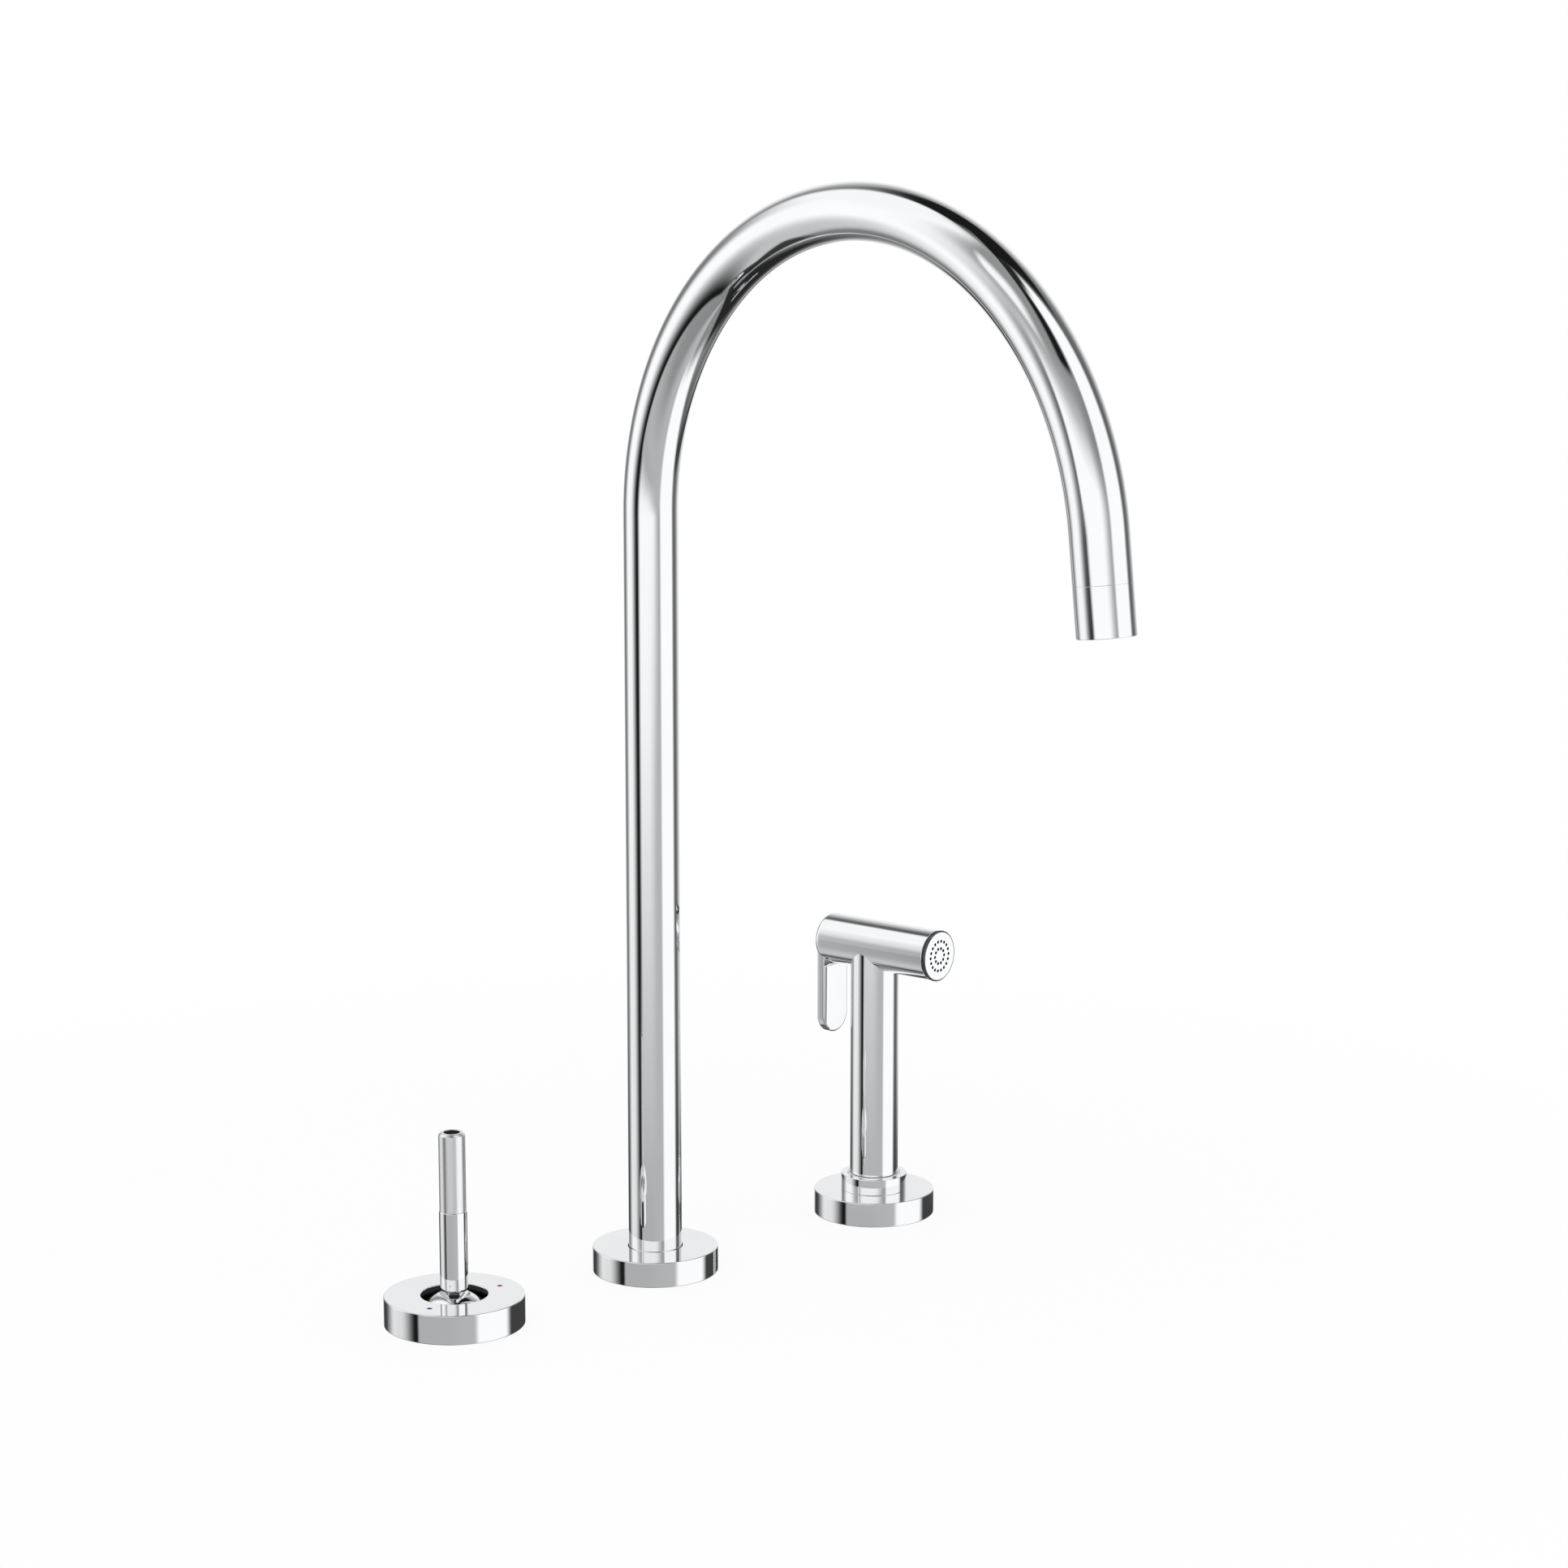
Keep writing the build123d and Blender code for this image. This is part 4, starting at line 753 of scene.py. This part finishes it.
stick_r = 0.0056
tip_r = 0.0022
tip_z = 0.0107
seam_z = 0.0467
core_r = 0.0043
core_length = 0.0253
stick_bore_r = 0.0008
stick_edge = 0.0003
stick_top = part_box("stick_grip")[1][2]
put_in_scene(
    "joystick_stem",
    turned(
        [
            (stick_bore_r, dimple_floor_z),
            (tip_r, dimple_floor_z),
            (tip_r, tip_z),
            (stick_r, tip_z + stick_r - tip_r),
            (stick_r, seam_z),
            (core_r, seam_z),
            (core_r, seam_z + core_length),
            (stick_bore_r, seam_z + core_length),
        ],
        stick_edge,
        valve_place,
    ),
    "chrome",
    "joystick",
    "stick_rod",
)

grip_r = 0.00535
grip_chamfer = 0.001
grip_edge = 0.00015
key_hole_r = 0.0033
screw_seat = 0.0732
screw_hole_r = 0.0026
seat_thickness = 0.0012
joystick_grip = put_in_scene(
    "joystick_grip",
    turned(
        [
            (core_r, seam_z),
            (grip_r, seam_z),
            (grip_r, stick_top - grip_chamfer),
            (grip_r - grip_chamfer, stick_top),
            (key_hole_r, stick_top),
            (key_hole_r, screw_seat),
            (screw_hole_r, screw_seat),
            (screw_hole_r, screw_seat - seat_thickness),
            (core_r, screw_seat - seat_thickness),
        ],
        grip_edge,
        valve_place,
    ),
    "satin",
    "joystick",
    "stick_grip",
)
# The inside of the key hole in the grip's top gets painted shade.
paint_shade_inside(joystick_grip, valve_x, key_hole_r + grip_edge, stick_top - grip_edge)

# ---- Side spray: holder collar ---------------------------------------------------------------
# A polished and plated collar on the flange, in which the handset's stem stands. It is in one
# piece with the threaded tube that goes down through the worktop.
holder_bore = 0.0114
collar_edge = 0.0003
_, _, collar_r, holder_low, collar_top = size_of("holder_sleeve")


def threaded_chrome():
    """Polished plate above the worktop, and a screw thread below it."""
    finish, place, shader = start_finish("threaded_chrome", metallic=1.0)
    mottle(noise(place, scale=30.0), plate_dark, plate_light).feed(shader, "Base Color")
    roughen(shader, noise(place, scale=90.0, detail=4.0), plate_rough, plate_wear)
    screw_thread(shader, place.dot((0, 0, 1)))
    return finish


holder_collar = put_in_scene(
    "holder_collar",
    turned(
        [
            (holder_bore, holder_low),
            (holder_r, holder_low),
            (holder_r, spray_top),
            (collar_r, spray_top),
            (collar_r, collar_top),
            (holder_bore, collar_top),
        ],
        collar_edge,
        spray_place,
    ),
    "chrome",
    "deck_fittings",
    "holder_sleeve",
)
holder_collar.data.materials[0] = threaded_chrome()

# ---- Side spray: handset ---------------------------------------------------------------------
# Stem and head are two brass tubes brazed into a T and polished as one. The head is level and
# points the way that the water goes.
stem_r = 0.0105
head_r = 0.01075
head_level = 0.1197
head_front = 0.0329
head_back = 0.0209
tube_edge = 0.0002
stem_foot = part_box("handset_body")[0][2]


def rod(radius, low, high):
    """The outline of a solid round bar."""
    return [(0, low), (radius, low), (radius, high), (0, high)]


head_rise = Matrix.Translation((0, 0, head_level))
head_place = spray_place @ head_rise @ Matrix.Rotation(radians(90), 4, "X")
handset = turned(rod(stem_r, stem_foot, head_level), tube_edge, spray_place)
head_tube = turned(rod(head_r, -head_back, head_front), 0)
round_off(head_tube, tube_edge, 0)
bmesh.ops.transform(head_tube, matrix=head_place, verts=head_tube.verts)
head_data = bpy.data.meshes.new("head_tube")
head_tube.to_mesh(head_data)
head_tube.free()
handset.from_mesh(head_data)
put_in_scene("handset_tee", handset, "chrome", "handset", "handset_body")

# ---- Side spray: face of the head ------------------------------------------------------------
# A brushed and plated disc with two rings of holes closes the front of the head. A bump leans it
# a little to the left, so that it mirrors the same part of the studio as in the photo.
handset_right = (cos(spray_turn), sin(spray_turn), 0)
sleeve_low, sleeve_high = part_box("holder_sleeve")
spray_reach = (sleeve_low[0] + sleeve_high[0]) / 2 * cos(spray_turn)
rim_starts = 0.01015
rim_full = 0.01045
rim_shade_paint = (0.12, 0.12, 0.125)
spray_rings = ((0.0064, 18), (0.00325, 10))
hole_shade_ends = 0.00078
hole_shade_full = 0.00064
hole_shade_paint = (0.02, 0.02, 0.021)
disc_lean = 0.12


def spray_face_finish():
    """Brushed chrome with painted shade: a dark band at the rim for the dark reflection of its
    edge, and a dark ring round each hole.
    """
    finish, place, shader = start_finish("brushed_face", metallic=1.0)
    across = place.dot(handset_right) - spray_reach
    rise = place.dot((0, 0, 1)) - head_level
    radius = across.reach(rise)
    angle = place.math("ARCTAN2", rise, across)
    cloud = noise(place, scale=200.0)
    colour = mottle(cloud, dark=(0.90, 0.91, 0.92), light=(0.95, 0.96, 0.97))
    # A painted dark band at the rim stands in for the dark reflection of the disc's edge.
    colour = radius.smooth(rim_starts, rim_full).blend(colour, (*rim_shade_paint, 1))
    # A painted dark ring round each hole stands in for the shade in the hole.
    for ring_r, holes in spray_rings:
        along = angle.math("PINGPONG", angle, pi / holes) * ring_r
        off_hole = along.reach(radius - ring_r)
        colour = off_hole.smooth(hole_shade_ends, hole_shade_full).blend(colour, (*hole_shade_paint, 1))
    colour.feed(shader, "Base Color")
    roughen(shader, cloud, least=0.11, spread=0.03)
    bump(shader, place.dot(handset_right), disc_lean)
    return finish


refinish(spray_face_finish(), "spray_face")

# ---- Side spray: lever -----------------------------------------------------------------------
# A flat cast lever: a round cap that closes the back of the head and a broad tongue with a round
# end. A shallow notch across its front, below the hinge pin, lets it tilt.
lever_gap = 0.0003
lever_thickness = 0.0042
lever_width = 0.0168
lever_reach = 0.042
cap_gap = 0.000015
cap_round = 0.0024
cap_steps = 10
tongue_round = 0.0008
tongue_steps = 5
tongue_turn_steps = 96
tongue_corner = radians(60)
tongue_inset = 0.00003
notch_top = -0.007
notch_low = -0.0118
notch_depth = 0.0007
press_top = -0.0056
press_room = 0.0007
knob_pocket_r = 0.0032
knob_pocket_depth = 0.0013
on_line = 1e-6
facing_front = 0.99
lever_lean = 0.055
lever_wave = 0.00002


def lever_front_finish():
    """Chrome of the lever's front, which leans a little to the left as the head's face does."""
    finish, place, shader = start_finish("lever_front", metallic=1.0)
    cloud = noise(place, scale=30.0)
    colour = mottle(cloud, dark=(0.90, 0.91, 0.92), light=(0.94, 0.95, 0.96))
    colour.feed(shader, "Base Color")
    roughen(shader, cloud, plate_rough, plate_wear)
    bump(shader, place.dot(handset_right) + cloud * lever_wave, lever_lean)
    return finish


lever_back = -head_back - lever_gap - lever_thickness
tongue_front = -head_back - lever_gap - tongue_inset
cap_front = -head_back - cap_gap
cap = turned(
    [
        (0, lever_back),
        (head_r, lever_back),
        (head_r, cap_front),
        (knob_pocket_r, cap_front),
        (knob_pocket_r, cap_front - knob_pocket_depth),
        (0, cap_front - knob_pocket_depth),
    ],
    0,
)
cap_middle = (lever_back + cap_front) / 2
rear_rim = [
    e for e in cap.edges if e.calc_face_angle() > sharp_corner and e.verts[0].co.z < cap_middle
]
bmesh.ops.bevel(
    cap,
    geom=rear_rim,
    offset=cap_round,
    affect="EDGES",
    segments=cap_steps,
    profile=0.5,
    material=-1,
)
# From the hinge pin down, the cap's front slopes back in two cuts: the first gives room to be
# pressed, and the second leads into the notch.
notch_run = cap_front - tongue_front + notch_depth
for cut_top, cut_run in ((press_top, press_room), (notch_top, notch_run)):
    bmesh.ops.bisect_plane(
        cap,
        geom=[*cap.verts, *cap.edges, *cap.faces],
        plane_co=(0, cut_top, cap_front),
        plane_no=(0, -cut_run, cut_top + head_r),
        clear_outer=True,
    )
    bmesh.ops.holes_fill(cap, edges=cap.edges, sides=0)

tongue = bmesh.new()
tongue_drop = lever_reach - lever_width / 2
bmesh.ops.create_circle(
    tongue, cap_ends=True, radius=lever_width / 2, segments=tongue_turn_steps
)
lower_half = [v for v in tongue.verts if v.co.y < -on_line]
bmesh.ops.translate(tongue, vec=(0, -tongue_drop, 0), verts=lower_half)
lifted = bmesh.ops.extrude_face_region(tongue, geom=list(tongue.faces))["geom"]
bmesh.ops.translate(
    tongue,
    vec=(0, 0, lever_thickness - 2 * tongue_inset),
    verts=only(bmesh.types.BMVert, lifted),
)
bmesh.ops.holes_fill(tongue, edges=tongue.edges, sides=0)
bmesh.ops.recalc_face_normals(tongue, faces=tongue.faces)
rims = [e for e in tongue.edges if e.calc_face_angle() > tongue_corner]
bmesh.ops.bevel(
    tongue,
    geom=rims,
    offset=tongue_round,
    affect="EDGES",
    segments=tongue_steps,
    profile=0.5,
    material=-1,
)
bmesh.ops.translate(tongue, vec=(0, 0, lever_back + tongue_inset), verts=tongue.verts)
for level in (notch_top, -head_r, notch_low):
    bmesh.ops.bisect_plane(
        tongue,
        geom=[*tongue.verts, *tongue.edges, *tongue.faces],
        plane_co=(0, level, 0),
        plane_no=(0, 1, 0),
    )
for corner in tongue.verts:
    if abs(corner.co.y + head_r) < on_line:
        corner.co.z = min(corner.co.z, tongue_front - notch_depth)
tongue_data = bpy.data.meshes.new("tongue")
tongue.to_mesh(tongue_data)
tongue.free()
cap.from_mesh(tongue_data)
bmesh.ops.transform(cap, matrix=head_place, verts=cap.verts)
handset_lever = put_in_scene("handset_lever", cap, "chrome", "trigger", "spray_lever")
handset_lever.data.materials.append(lever_front_finish())
water_way = Vector((sin(spray_turn), -cos(spray_turn), 0))
for face in handset_lever.data.polygons:
    below_notch = face.center.z < head_level + notch_low
    if below_notch and face.normal.dot(water_way) > facing_front:
        face.material_index = 1
